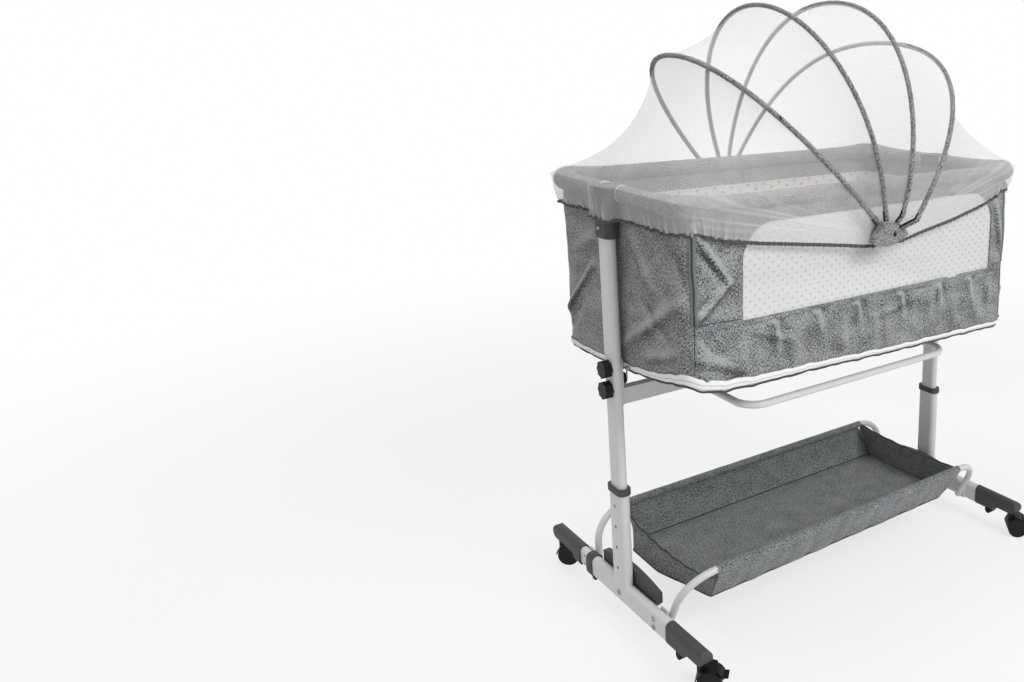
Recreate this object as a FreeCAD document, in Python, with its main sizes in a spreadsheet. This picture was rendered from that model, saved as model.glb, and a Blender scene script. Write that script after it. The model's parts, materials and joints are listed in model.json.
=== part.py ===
import FreeCAD, Part

import math
import os
import re

import Sketcher
from FreeCAD import Placement, Rotation, Vector

# Bedside sleeper crib, in millimetres. +X runs along the crib towards the head end, -Y is the open
# front side, +Z is up. The origin is on the floor, at the middle of the crib.

SIDES = {"left": -1, "right": 1}
CORNERS = {"front_left": (-1, -1), "front_right": (1, -1), "rear_left": (-1, 1), "rear_right": (1, 1)}
HOOPS = (1, 2, 3, 4)
AXIS_X = Vector(1, 0, 0)
AXIS_Y = Vector(0, 1, 0)
AXIS_Z = Vector(0, 0, 1)

DIMENSIONS = {
    # rim and bassinet
    "rim_length": 940,
    "rim_width": 523,
    "rim_top": 962,
    "roll_radius": 16,
    "rail_radius": 9.5,
    "rail_wall": 1.2,
    "rim_corner": 76,
    "rail_joint_x": 300,
    "body_length": 905.4,
    "body_width": 506,
    "body_bottom": 586,
    "body_corner": 42,
    "band_height": 120,
    "body_heel": 22,
    "panel_thickness": 5,
    "zip_x": 438,
    "window_left": 329,
    "window_right": 389,
    "window_bottom": 718,
    "window_top": 905,
    "window_corner": 74,
    "mesh_thickness": 1.2,
    "seam_gap": 0.3,
    "board_length": 884,
    "board_width": 484,
    "board_thickness": 6,
    "board_corner": 108,
    "mattress_length": 880,
    "mattress_width": 480,
    "mattress_height": 48,
    "mattress_corner": 84,
    "mattress_draw": 9,
    # legs and heads
    "leg_x": 476,
    "leg_width": 25,
    "leg_depth": 58,
    "leg_wall": 1.6,
    "leg_top": 310,
    "hole_radius": 4,
    "hole_top": 277,
    "hole_pitch": 49,
    "fixing_hole_z": 303,
    "fixing_hole_radius": 2.2,
    "inner_width": 21,
    "inner_depth": 47,
    "inner_wall": 1.5,
    "inner_bottom": 246,
    "inner_top": 900,
    "collar_width": 31,
    "collar_depth": 56,
    "guide_depth": 66,
    "guide_bottom": 308,
    "guide_top": 321,
    "head_width": 32,
    "head_depth": 60,
    "head_bottom": 858,
    "head_top": 960,
    "head_reach": 438,
    "button_travel": 3,
    # support frame and knobs
    "arm_bottom": 505,
    "arm_height": 35,
    "arm_width": 22,
    "arm_plate_top": 604,
    "arm_plate_thickness": 4,
    "loop_half_length": 295,
    "loop_half_width": 220,
    "loop_z": 520,
    "loop_radius": 8,
    "loop_corner": 45,
    "knob_upper_z": 586,
    "knob_lower_z": 541,
    "knob_radius": 19,
    "knob_thickness": 17,
    "knob_lobe": 4.5,
    "screw_radius": 3,
    # base
    "bar_height": 50,
    "bar_z": 70,
    "bar_front": -195,
    "bar_rear": 140,
    "extension_width": 20,
    "extension_height": 44,
    "extension_start": 30,
    "extension_end": 188,
    "extension_wall": 1.5,
    "collar_y": 125,
    "collar_length": 25,
    "cap_width": 27,
    "cap_top": 96,
    "cap_end": 312,
    "cap_arm_height": 32,
    "cap_slope": 12,
    "nub_y": -238,
    "nub_z": 44,
    "nub_radius": 9,
    "spigot_length": 25,
    "rocker_thickness": 15,
    "rocker_half_span": 117,
    "rocker_crown": 125,
    "rocker_tip": 111,
    "rocker_lug": 14,
    "pivot_radius": 4,
    "running_gap": 0.1,
    "free_gap": 0.4,
    # basket
    "basket_tube_radius": 8,
    "basket_top": 178.8,
    "basket_front": -208.5,
    "basket_rear": 168,
    "basket_foot_x": 449,
    "basket_foot_y": -146,
    "basket_foot_z": 58,
    "basket_corner": 74,
    "foot_plate_thickness": 4,
    "foot_plate_width": 26,
    "foot_plate_bottom": 50,
    "foot_plate_top": 92,
    "basket_bolt_low": 60,
    "basket_bolt_high": 80,
    "basket_half_length": 372,
    "basket_floor_half_length": 350,
    "basket_floor_front": 103,
    "basket_floor_rear": 85,
    "basket_wall": 2,
    # casters
    "caster_y": 306,
    "wheel_radius": 25,
    "wheel_width": 15,
    "wheel_gap": 10,
    "wheel_trail": 17,
    "axle_radius": 3,
    "hood_radius": 29,
    "hood_wall": 2.2,
    "hood_width": 44,
    "web_thickness": 8,
    "neck_radius": 9,
    "stem_radius": 4,
    "stem_top": 86,
    "brake_width": 30,
    "brake_tab": 8,
    # canopy
    "hub_x": 22,
    "hub_z": 846,
    "hub_plate": 42,
    "hub_pin_radius": 4,
    "hub_head_radius": 9,
    "blade_first": 275.4,
    "blade_pitch": 6.4,
    "blade_thickness": 3,
    "blade_width": 13,
    "blade_bend": 12,
    "hoop_radius": 4.5,
    "hoop_start": 46,
    "net_inset": 5.2,
    "net_thickness": 1.4,
    "net_start": 30,
    "net_end_x": 498,
    "net_side_y": 269,
    "net_corner": 88,
    "hem_z": 889,
}

# Each hoop as it stands: its angle up from the head end, how far out its rod starts, the two handles
# that shape a quarter of it (how far and how high its side leans out, how wide its crown stays), and its
# reach from the hinge axis.
HOOP_SHAPES = {
    1: {"angle": 133.4, "start": 279, "lean": -2, "rise": 194, "crown": 196, "reach": 496},
    2: {"angle": 106, "start": 287.2, "lean": 52, "rise": 252, "crown": 183, "reach": 482},
    3: {"angle": 80.6, "start": 314.7, "lean": 33, "rise": 159, "crown": 270, "reach": 482},
    4: {"angle": 58.4, "start": 340.5, "lean": 7.5, "rise": 91, "crown": 372, "reach": 458},
}

doc = FreeCAD.newDocument("BedsideSleeperCrib")
sizes = doc.addObject("Spreadsheet::Sheet", "Sizes")
for row, (alias, value) in enumerate(DIMENSIONS.items(), start=1):
    sizes.set(f"A{row}", alias)
    sizes.set(f"B{row}", str(value))
    sizes.setAlias(f"B{row}", alias)
doc.recompute()

parts_out = []


# ---------------------------------------------------------------- sizes and bindings


def size(alias):
    """The value of one cell of the sheet."""
    return float(sizes.get(alias))


def formula(text):
    """A formula on the sheet's cells, from one written with their bare names."""
    return re.sub(r"[a-z][a-z_]+", lambda word: "Sizes." + word.group(), text)


def value_of(text):
    """The number that such a formula gives, worked out by the sheet in a spare cell."""
    sizes.set("D1", "=" + text)
    sizes.recompute()
    answer = float(sizes.get("D1"))
    sizes.clear("D1")
    return answer


def bind(piece, formulas):
    """Bind properties of a piece to the sheet."""
    for name, text in formulas.items():
        piece.setExpression(name, formula(text))


def hand_in(piece, label):
    """Name a finished sub-part, which is written to its own file."""
    piece.Label = label
    parts_out.append(piece)
    return piece


# ---------------------------------------------------------------- primitives


def box(name, x, y, z):
    """A block between pairs of formulas."""
    piece = doc.addObject("Part::Box", name)
    spans = {"Length": x, "Width": y, "Height": z}
    for side, (low, high) in spans.items():
        piece.setExpression(side, formula(f"({high}) - ({low})"))
    bind(piece, {"Placement.Base.x": x[0], "Placement.Base.y": y[0], "Placement.Base.z": z[0]})
    return piece


def cylinder(name, axis, start, radius, length):
    """A rod from a start point, given as three formulas, along an axis."""
    piece = doc.addObject("Part::Cylinder", name)
    piece.Placement = Placement(Vector(), Rotation(AXIS_Z, axis))
    bind(piece, {"Radius": radius, "Height": length})
    bind(piece, {f"Placement.Base.{letter}": text for letter, text in zip("xyz", start)})
    return piece


def fuse(name, *pieces):
    """One solid of several."""
    piece = doc.addObject("Part::MultiFuse", name)
    piece.Shapes = list(pieces)
    return piece


def cut(name, base, *tools):
    """A piece with others taken away."""
    piece = doc.addObject("Part::Cut", name)
    piece.Base = base
    piece.Tool = tools[0] if len(tools) == 1 else fuse(name + "_tools", *tools)
    return piece


def common(name, *pieces):
    """What several pieces share."""
    piece = doc.addObject("Part::MultiCommon", name)
    piece.Shapes = list(pieces)
    return piece


def group(name, pieces):
    """Separate solids under one name."""
    piece = doc.addObject("Part::Compound", name)
    piece.Links = list(pieces)
    return piece


def shaped(name, shape):
    """A piece whose shape is worked out here from the sheet."""
    piece = doc.addObject("Part::Feature", name)
    piece.Shape = shape
    return piece


def rounded_box(name, x, y, z, radius, corner_test):
    """A block whose edges that pass a test on their middle are rounded."""
    block = box(name + "_block", x, y, z)
    doc.recompute()
    piece = doc.addObject("Part::Fillet", name)
    piece.Base = block
    amount = size(radius)
    chosen = [i for i, edge in enumerate(block.Shape.Edges, 1) if corner_test(edge)]
    piece.Edges = [(i, amount, amount) for i in chosen]
    return piece


def upright(edge):
    """Whether an edge runs along Z."""
    return abs(edge.tangentAt(edge.FirstParameter).z) > 0.99


def low_crosswise(edge):
    """Whether an edge runs along Y at the bottom of its block."""
    along_y = abs(edge.tangentAt(edge.FirstParameter).y) > 0.99
    return along_y and edge.CenterOfMass.z < size("window_bottom")


# ---------------------------------------------------------------- flat-oval sections


def add_slot(sketch, width, depth, tag):
    """A flat-oval outline round a sketch's origin, with its two sizes bound to the sheet."""
    radius = value_of(width) / 2
    half = value_of(depth) / 2 - radius
    upper = Part.ArcOfCircle(Part.Circle(Vector(0, half, 0), AXIS_Z, radius), 0, math.pi)
    lower = Part.ArcOfCircle(Part.Circle(Vector(0, -half, 0), AXIS_Z, radius), math.pi, 2 * math.pi)
    top = sketch.addGeometry(upper)
    bottom = sketch.addGeometry(lower)
    right = sketch.addGeometry(Part.LineSegment(Vector(radius, -half, 0), Vector(radius, half, 0)))
    left = sketch.addGeometry(Part.LineSegment(Vector(-radius, half, 0), Vector(-radius, -half, 0)))
    sketch.addConstraint(Sketcher.Constraint("Tangent", top, 1, right, 2))
    sketch.addConstraint(Sketcher.Constraint("Tangent", top, 2, left, 1))
    sketch.addConstraint(Sketcher.Constraint("Tangent", bottom, 1, left, 2))
    sketch.addConstraint(Sketcher.Constraint("Tangent", bottom, 2, right, 1))
    sketch.addConstraint(Sketcher.Constraint("Symmetric", top, 3, bottom, 3, -1, 1))
    sketch.addConstraint(Sketcher.Constraint("Vertical", right))
    sketch.addConstraint(Sketcher.Constraint("Vertical", left))
    radius_row = sketch.addConstraint(Sketcher.Constraint("Radius", top, radius))
    centres_row = sketch.addConstraint(Sketcher.Constraint("DistanceY", bottom, 3, top, 3, 2 * half))
    sketch.renameConstraint(radius_row, tag + "Radius")
    sketch.renameConstraint(centres_row, tag + "Centres")
    bind(sketch, {f"Constraints.{tag}Radius": f"({width}) / 2",
                  f"Constraints.{tag}Centres": f"({depth}) - ({width})"})


def slot_prism(name, width, depth, start, length, along=AXIS_Z):
    """A flat-oval block from a start point, given as three formulas, along Z or Y."""
    sketch = doc.addObject("Sketcher::SketchObject", name + "_outline")
    if along == AXIS_Y:
        sketch.Placement = Placement(Vector(), Rotation(AXIS_X, 90))
    add_slot(sketch, width, depth, "Outline")
    bind(sketch, {f"Placement.Base.{letter}": text for letter, text in zip("xyz", start)})
    piece = doc.addObject("Part::Extrusion", name)
    piece.Base = sketch
    piece.DirMode = "Normal"
    piece.Solid = True
    piece.Reversed = along == AXIS_Y
    bind(piece, {"LengthFwd": length})
    return piece


def origin_plane(body, role):
    """One of a body's own origin planes."""
    return next(item for item in body.Origin.OriginFeatures if item.Role == role)


def slot_tube(name, width, depth, wall, length):
    """A hollow flat-oval tube along Z, from its own origin, as a body to which holes can be added."""
    body = doc.addObject("PartDesign::Body", name)
    sketch = body.newObject("Sketcher::SketchObject", name + "_section")
    sketch.AttachmentSupport = [(origin_plane(body, "XY_Plane"), "")]
    sketch.MapMode = "FlatFace"
    add_slot(sketch, width, depth, "Outer")
    add_slot(sketch, f"({width}) - 2 * {wall}", f"({depth}) - 2 * {wall}", "Inner")
    pad = body.newObject("PartDesign::Pad", name + "_pad")
    pad.Profile = sketch
    bind(pad, {"Length": length})
    doc.recompute()
    return body


def cross_holes(body, name, radius, places, pitch=None, count=1, side=0):
    """Holes across a slot tube at (y, z) places, down its Z if repeated; side keeps them to one wall."""
    before = body.Shape.Volume
    sketch = body.newObject("Sketcher::SketchObject", name + "_circles")
    sketch.AttachmentSupport = [(origin_plane(body, "YZ_Plane"), "")]
    sketch.MapMode = "FlatFace"
    for i, (y_text, z_text) in enumerate(places):
        centre = Vector(value_of(y_text), value_of(z_text), 0)
        circle = sketch.addGeometry(Part.Circle(centre, AXIS_Z, value_of(radius)))
        rows = {"Radius": Sketcher.Constraint("Radius", circle, value_of(radius)),
                "Across": Sketcher.Constraint("DistanceX", -1, 1, circle, 3, centre.x),
                "Up": Sketcher.Constraint("DistanceY", -1, 1, circle, 3, centre.y)}
        texts = {"Radius": radius, "Across": y_text, "Up": z_text}
        for word, constraint in rows.items():
            if word == "Across" and abs(centre.x) < 1e-9:
                constraint = Sketcher.Constraint("PointOnObject", circle, 3, -2)
            row_index = sketch.addConstraint(constraint)
            if constraint.Type != "PointOnObject":
                sketch.renameConstraint(row_index, f"{word}{i}")
                bind(sketch, {f"Constraints.{word}{i}": texts[word]})
    pocket = body.newObject("PartDesign::Pocket", name)
    pocket.Profile = sketch
    pocket.Type = "ThroughAll"
    pocket.SideType = "One side" if side else "Symmetric"
    pocket.Reversed = side > 0
    doc.recompute()
    if count > 1:
        pattern = body.newObject("PartDesign::LinearPattern", name + "_row")
        pattern.Originals = [pocket]
        pattern.Direction = (origin_plane(body, "Z_Axis"), [""])
        pattern.Reversed = True
        pattern.Occurrences = count
        bind(pattern, {"Length": f"({count} - 1) * {pitch}"})
        body.Tip = pattern
        doc.recompute()
    if body.Shape.Volume >= before:
        raise ValueError(f"{name} cut nothing")


# ---------------------------------------------------------------- wires and bent tubes


def arc_from_tangent(start, tangent, end):
    """Three points of the arc that leaves a point along a tangent and reaches another point."""
    chord = end - start
    side = tangent - chord * (tangent.dot(chord) / chord.dot(chord))
    middle = (start + end) / 2
    if side.Length > 1e-6:
        half_turn = tangent.getAngle(chord) / 2
        middle = middle + side.normalize() * (chord.Length / 2 * math.tan(half_turn))
    return [start, middle, end]


def biarc(start, start_tangent, end, end_tangent):
    """Two arcs, as three points each, that join two points smoothly along the tangents given there."""
    gap = end - start
    both = start_tangent + end_tangent
    square = 2 * (start_tangent.dot(end_tangent) - 1)
    linear = -2 * gap.dot(both)
    constant = gap.dot(gap)
    if abs(square) < 1e-9:
        reach = -constant / linear
    else:
        reach = (-linear - math.sqrt(linear * linear - 4 * square * constant)) / (2 * square)
    joint = (start + start_tangent * reach + end - end_tangent * reach) / 2
    second = arc_from_tangent(end, end_tangent * -1, joint)
    return [arc_from_tangent(start, start_tangent, joint), second[::-1]]


def moved_in(points, inset):
    """The edge through an arc's three points, moved in as a parallel arc in the YZ plane."""
    start, middle, end = points
    along = (end - start).normalize()
    inward = Vector(0, -along.z, along.y)
    bulge = (middle - (start + end) / 2).dot(inward)
    if abs(bulge) < 1e-4:
        return Part.LineSegment(start + inward * inset, end + inward * inset).toShape()
    centre = Part.Arc(*points).toShape().Curve.Center
    hand = -1 if bulge > 0 else 1
    return Part.Arc(*[point + (centre - point).normalize() * (inset * hand) for point in points]).toShape()


def bent_wire(points, radius, closed=False):
    """Straight runs through points, joined by tangent arcs of one radius."""
    count = len(points)
    corners = range(count) if closed else range(1, count - 1)
    entries = {}
    for i in corners:
        before, here, after = points[i - 1], points[i], points[(i + 1) % count]
        come = (here - before).normalize()
        leave = (after - here).normalize()
        turn = come.getAngle(leave)
        back = radius * math.tan(turn / 2)
        middle_way = (leave - come).normalize()
        depth = radius / math.cos(turn / 2) - radius
        entries[i] = (here - come * back, here + middle_way * depth, here + leave * back)
    edges = []
    for i in range(count if closed else count - 1):
        follower = (i + 1) % count
        start = entries[i][2] if i in entries else points[i]
        end = entries[follower][0] if follower in entries else points[follower]
        edges.append(Part.LineSegment(start, end).toShape())
        if follower in entries:
            edges.append(Part.Arc(*entries[follower]).toShape())
    return Part.Wire(edges)


def swept_tube(wire, radius):
    """A round solid along a wire."""
    first = wire.Edges[0]
    start = first.valueAt(first.FirstParameter)
    ring = Part.Circle(start, first.tangentAt(first.FirstParameter), radius)
    return wire.makePipeShell([Part.Wire(ring.toShape())], True, True)


def bent_tube(wire, radius, wall):
    """A hollow round tube along a wire."""
    return swept_tube(wire, radius).cut(swept_tube(wire, radius - wall))


def rounded_rectangle(half_length, half_width, radius, z):
    """A level closed wire round the origin: four lines and four arcs."""
    corners = [Vector(half_length, -half_width, z), Vector(half_length, half_width, z),
               Vector(-half_length, half_width, z), Vector(-half_length, -half_width, z)]
    return bent_wire(corners, radius, closed=True)


# ---------------------------------------------------------------- legs


def side_x(sign, text):
    """A formula on one side of the crib."""
    return text if sign > 0 else f"-1 * ({text})"


def make_outer_leg(side, sign):
    """A flat-oval tube with a row of adjusting holes, saddled on the bar's rounded top."""
    start = "bar_z + bar_height / 2 - leg_width / 2"
    tube = slot_tube(f"outer_leg_{side}_tube", "leg_width", "leg_depth", "leg_wall", f"leg_top - ({start})")
    cross_holes(tube, f"outer_leg_{side}_holes", "hole_radius", [("0 * leg_x", f"hole_top - ({start})")],
                "hole_pitch", 4, sign)
    cross_holes(tube, f"outer_leg_{side}_fixing", "fixing_hole_radius",
                [("0 * leg_x", f"fixing_hole_z - ({start})")], side=sign)
    bind(tube, {"Placement.Base.x": side_x(sign, "leg_x"), "Placement.Base.z": start})
    saddle = slot_prism(f"outer_leg_{side}_saddle", "leg_width + running_gap", "bar_height + running_gap",
                        (side_x(sign, "leg_x"), "-1 * leg_depth", "bar_z"), "2 * leg_depth", AXIS_Y)
    return hand_in(cut(f"outer_leg_{side}_cut", tube, saddle), f"outer_leg_{side}")


def make_leg_collar(side, sign):
    """A plastic ring on top of the outer leg that guides the inner leg."""
    x = side_x(sign, "leg_x")
    ring = slot_prism(f"leg_collar_{side}_ring", "collar_width", "guide_depth",
                      (x, "0 * leg_x", "guide_bottom"), "guide_top - guide_bottom")
    seat = slot_prism(f"leg_collar_{side}_seat", "leg_width + free_gap", "leg_depth + free_gap",
                      (x, "0 * leg_x", "guide_bottom - 1"), "leg_top - guide_bottom + 1.2")
    bore = slot_prism(f"leg_collar_{side}_bore", "inner_width + 2 * free_gap", "inner_depth + 2 * free_gap",
                      (x, "0 * leg_x", "guide_bottom - 1"), "guide_top - guide_bottom + 2")
    return cut(f"leg_collar_{side}", ring, seat, bore)


def make_inner_leg(side, sign):
    """The adjustable leg: it slides in the outer leg and carries the head and the support arm."""
    tube = slot_tube(f"inner_leg_{side}_tube", "inner_width", "inner_depth", "inner_wall",
                     "inner_top - inner_bottom")
    cross_holes(tube, f"inner_leg_{side}_lock", "hole_radius", [("0 * leg_x", "hole_top - inner_bottom")])
    cross_holes(tube, f"inner_leg_{side}_bolts", "screw_radius + free_gap",
                [("0 * leg_x", "knob_upper_z - inner_bottom"), ("0 * leg_x", "knob_lower_z - inner_bottom")])
    bind(tube, {"Placement.Base.x": side_x(sign, "leg_x"), "Placement.Base.z": "inner_bottom"})
    return hand_in(tube, f"inner_leg_{side}")


def make_leg_button(side, sign):
    """The domed button in the adjusting hole; it is pushed inwards."""
    out = AXIS_X * sign
    face = side_x(sign, "leg_x + leg_width / 2 - leg_wall")
    shank = cylinder(f"leg_button_{side}_shank", out, (face, "0 * leg_x", "hole_top"),
                     "hole_radius - running_gap", "leg_wall + 1.4")
    dome = doc.addObject("Part::Sphere", f"leg_button_{side}_dome")
    bind(dome, {"Radius": "hole_radius + 1"})
    bind(dome, {"Placement.Base.x": side_x(sign, "leg_x + leg_width / 2 - hole_radius + 1.4"),
                "Placement.Base.z": "hole_top"})
    return hand_in(common(f"leg_button_{side}_form", shank, dome), f"leg_button_{side}")


def make_leg_head(side, sign):
    """The plastic head: a sleeve on the inner leg, and a clamp round the rim tube."""
    x = side_x(sign, "leg_x")
    rail_x = side_x(sign, "rim_length / 2 - roll_radius")
    rail_z = "rim_top - roll_radius"
    sleeve = slot_prism(f"leg_head_{side}_sleeve", "head_width", "head_depth",
                        (x, "0 * leg_x", "head_bottom"), "head_top - head_bottom")
    low, high = ("head_reach", "leg_x") if sign > 0 else ("-1 * leg_x", "-1 * head_reach")
    clamp = box(f"leg_head_{side}_clamp", (low, high), ("head_depth / -2", "head_depth / 2"),
                ("rim_top - 2 * roll_radius + 0.5", "head_top"))
    bore = slot_prism(f"leg_head_{side}_bore", "inner_width + free_gap", "inner_depth + free_gap",
                      (x, "0 * leg_x", "head_bottom - 1"), "inner_top - head_bottom + 1.3")
    rail = cylinder(f"leg_head_{side}_rail", AXIS_Y, (rail_x, "-1 * head_depth", rail_z),
                    "rail_radius + running_gap", "2 * head_depth")
    grooves = [
        box(f"leg_head_{side}_groove_{i}",
            (side_x(sign, "leg_x + head_width / 2 - 1.2") if sign > 0 else "-1 * leg_x - head_width / 2",
             "leg_x + head_width / 2" if sign > 0 else "-1 * leg_x - head_width / 2 + 1.2"),
            (f"{y} - 0.8", f"{y} + 0.8"), ("head_bottom + 6", "head_bottom + 40"))
        for i, y in enumerate((-8, 8))
    ]
    body = fuse(f"leg_head_{side}_body", sleeve, clamp)
    return hand_in(cut(f"leg_head_{side}_form", body, bore, rail, *grooves), f"leg_head_{side}")


def make_support_arm(side, sign):
    """A rectangular tube from the leg to the loop, with the plate that the knob screws hold."""
    leg_face = "leg_x - inner_width / 2 - running_gap"
    loop_face = "loop_half_length + loop_radius"
    span = (loop_face, leg_face) if sign > 0 else (f"-1 * ({leg_face})", f"-1 * ({loop_face})")
    beam = box(f"support_arm_{side}_beam", span, ("arm_width / -2", "arm_width / 2"),
               ("arm_bottom", "arm_bottom + arm_height"))
    hollow = box(f"support_arm_{side}_hollow", (f"({span[0]}) - 1", f"({span[1]}) + 1"),
                 ("arm_width / -2 + leg_wall", "arm_width / 2 - leg_wall"),
                 ("arm_bottom + leg_wall", "arm_bottom + arm_height - leg_wall"))
    plate_inner = f"{leg_face} - arm_plate_thickness"
    plate_span = (plate_inner, leg_face) if sign > 0 else (f"-1 * ({leg_face})", f"-1 * ({plate_inner})")
    plate = box(f"support_arm_{side}_plate", plate_span, ("-14", "14"), ("arm_bottom", "arm_plate_top"))
    holes = [
        cylinder(f"support_arm_{side}_{level}_hole", AXIS_X, (f"({plate_span[0]}) - 1", "0 * leg_x", level),
                 "screw_radius + running_gap", "arm_plate_thickness + 2")
        for level in ("knob_upper_z", "knob_lower_z")
    ]
    tube = cut(f"support_arm_{side}_tube", beam, hollow)
    return cut(f"support_arm_{side}", fuse(f"support_arm_{side}_weld", tube, plate), *holes)


def make_knob(side, sign, level, z_text):
    """A lobed clamping knob with its screw through the leg and into the arm's plate."""
    name = f"{level}_knob_{side}"
    out = AXIS_X * sign
    face = "leg_x + inner_width / 2 + free_gap"
    start = (side_x(sign, face), "0 * leg_x", z_text)
    disc = cylinder(name + "_disc", out, start, "knob_radius - knob_lobe / 2", "knob_thickness")
    lobes = []
    for i in range(8):
        turn = math.radians(45 * i)
        place = (start[0], f"(knob_radius - knob_lobe) * {math.cos(turn):.6f}",
                 f"{z_text} + (knob_radius - knob_lobe) * {math.sin(turn):.6f}")
        lobes.append(cylinder(f"{name}_lobe_{i}", out, place, "knob_lobe", "knob_thickness"))
    screw_start = (side_x(sign, "leg_x - inner_width / 2 - running_gap - arm_plate_thickness"), "0 * leg_x",
                   z_text)
    screw = cylinder(name + "_screw", out, screw_start, "screw_radius",
                     "inner_width + arm_plate_thickness + 2 * free_gap + 1")
    return hand_in(fuse(name + "_form", disc, screw, *lobes), name)


def make_support_loop():
    """The round tube loop under the bassinet that the two arms carry."""
    wire = rounded_rectangle(size("loop_half_length"), size("loop_half_width"), size("loop_corner"),
                             size("loop_z"))
    tube = bent_tube(wire, size("loop_radius"), size("rail_wall"))
    return hand_in(shaped("support_loop_tube", tube), "support_loop")


# ---------------------------------------------------------------- base


def make_base_bar(side, sign):
    """The bar on the floor side of the leg, with the basket's bolt holes and the rocker's pivot hole."""
    tube = slot_tube(f"base_bar_{side}_tube", "leg_width", "bar_height", "leg_wall", "bar_rear - bar_front")
    tube.Placement = Placement(Vector(), Rotation(AXIS_X, 90))
    along = "bar_rear - basket_foot_y"
    cross_holes(tube, f"base_bar_{side}_bolts", "screw_radius + running_gap",
                [("basket_bolt_high - bar_z", along), ("basket_bolt_low - bar_z", along)])
    cross_holes(tube, f"base_bar_{side}_pivot", "pivot_radius + running_gap", [("0 * leg_x", "bar_rear")])
    bind(tube, {"Placement.Base.x": side_x(sign, "leg_x"), "Placement.Base.y": "bar_rear",
                "Placement.Base.z": "bar_z"})
    return hand_in(tube, f"base_bar_{side}")


def make_extension_tube(side, sign):
    """The smaller tube that pulls out of the bar's rear end."""
    tube = slot_tube(f"extension_tube_{side}_tube", "extension_width", "extension_height", "extension_wall",
                     "extension_end - extension_start")
    tube.Placement = Placement(Vector(), Rotation(AXIS_X, 90))
    along = "extension_end - basket_rear"
    cross_holes(tube, f"extension_tube_{side}_bolts", "screw_radius + running_gap",
                [("basket_bolt_high - bar_z", along), ("basket_bolt_low - bar_z", along)])
    bind(tube, {"Placement.Base.x": side_x(sign, "leg_x"), "Placement.Base.y": "extension_end",
                "Placement.Base.z": "bar_z"})
    return hand_in(tube, f"extension_tube_{side}")


def make_extension_collar(side, sign):
    """The plastic ring at the bar's rear end, with the slot of its lock tab."""
    x = side_x(sign, "leg_x")
    ring = slot_prism(f"extension_collar_{side}_ring", "collar_width", "collar_depth",
                      (x, "collar_y", "bar_z"), "collar_length", AXIS_Y)
    seat = slot_prism(f"extension_collar_{side}_seat", "leg_width + free_gap", "bar_height + free_gap",
                      (x, "collar_y - 1", "bar_z"), "bar_rear - collar_y + 1.2", AXIS_Y)
    bore = slot_prism(f"extension_collar_{side}_bore", "extension_width + 2 * free_gap",
                      "extension_height + 2 * free_gap", (x, "collar_y - 1", "bar_z"), "collar_length + 2",
                      AXIS_Y)
    slot = box(f"extension_collar_{side}_slot", (f"({x}) - 6.5", f"({x}) + 6.5"),
               ("collar_y + 3.5", "collar_y + 16.5"), ("bar_z - collar_depth / 2 - 2", "bar_z - 12"))
    return cut(f"extension_collar_{side}", ring, seat, bore, slot)


def make_extension_lock(side, sign):
    """The tab under the collar that is pushed up to free the extension tube."""
    x = side_x(sign, "leg_x")
    tab = rounded_box(f"extension_lock_{side}_tab", (f"({x}) - 6", f"({x}) + 6"),
                      ("collar_y + 4", "collar_y + 16"),
                      ("bar_z - bar_height / 2 - 12", "bar_z - bar_height / 2 - 2.5"),
                      "mesh_thickness", lambda edge: not upright(edge) and edge.CenterOfMass.z < 40)
    return hand_in(tab, f"extension_lock_{side}")


def cap_profile(front, joint, top, joint_bottom, lobe_reach):
    """The side outline of an end cap, in the YZ plane: a tall joint end, a slope and a rounded arm."""
    direction = -1 if front else 1
    end = size("cap_end")
    radius = size("cap_arm_height") / 2
    arm_bottom = top - 2 * radius
    slope_start = lobe_reach + size("cap_slope")

    def at(y, z):
        return Vector(0, direction * y, z)

    edges = [
        Part.LineSegment(at(joint, joint_bottom), at(joint, top)).toShape(),
        Part.LineSegment(at(joint, top), at(end, top)).toShape(),
        Part.Arc(at(end, top), at(end + radius, top - radius), at(end, arm_bottom)).toShape(),
        Part.LineSegment(at(end, arm_bottom), at(slope_start, arm_bottom)).toShape(),
        Part.LineSegment(at(slope_start, arm_bottom), at(lobe_reach, joint_bottom)).toShape(),
        Part.LineSegment(at(lobe_reach, joint_bottom), at(joint, joint_bottom)).toShape(),
    ]
    return Part.Face(Part.Wire(edges))


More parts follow.
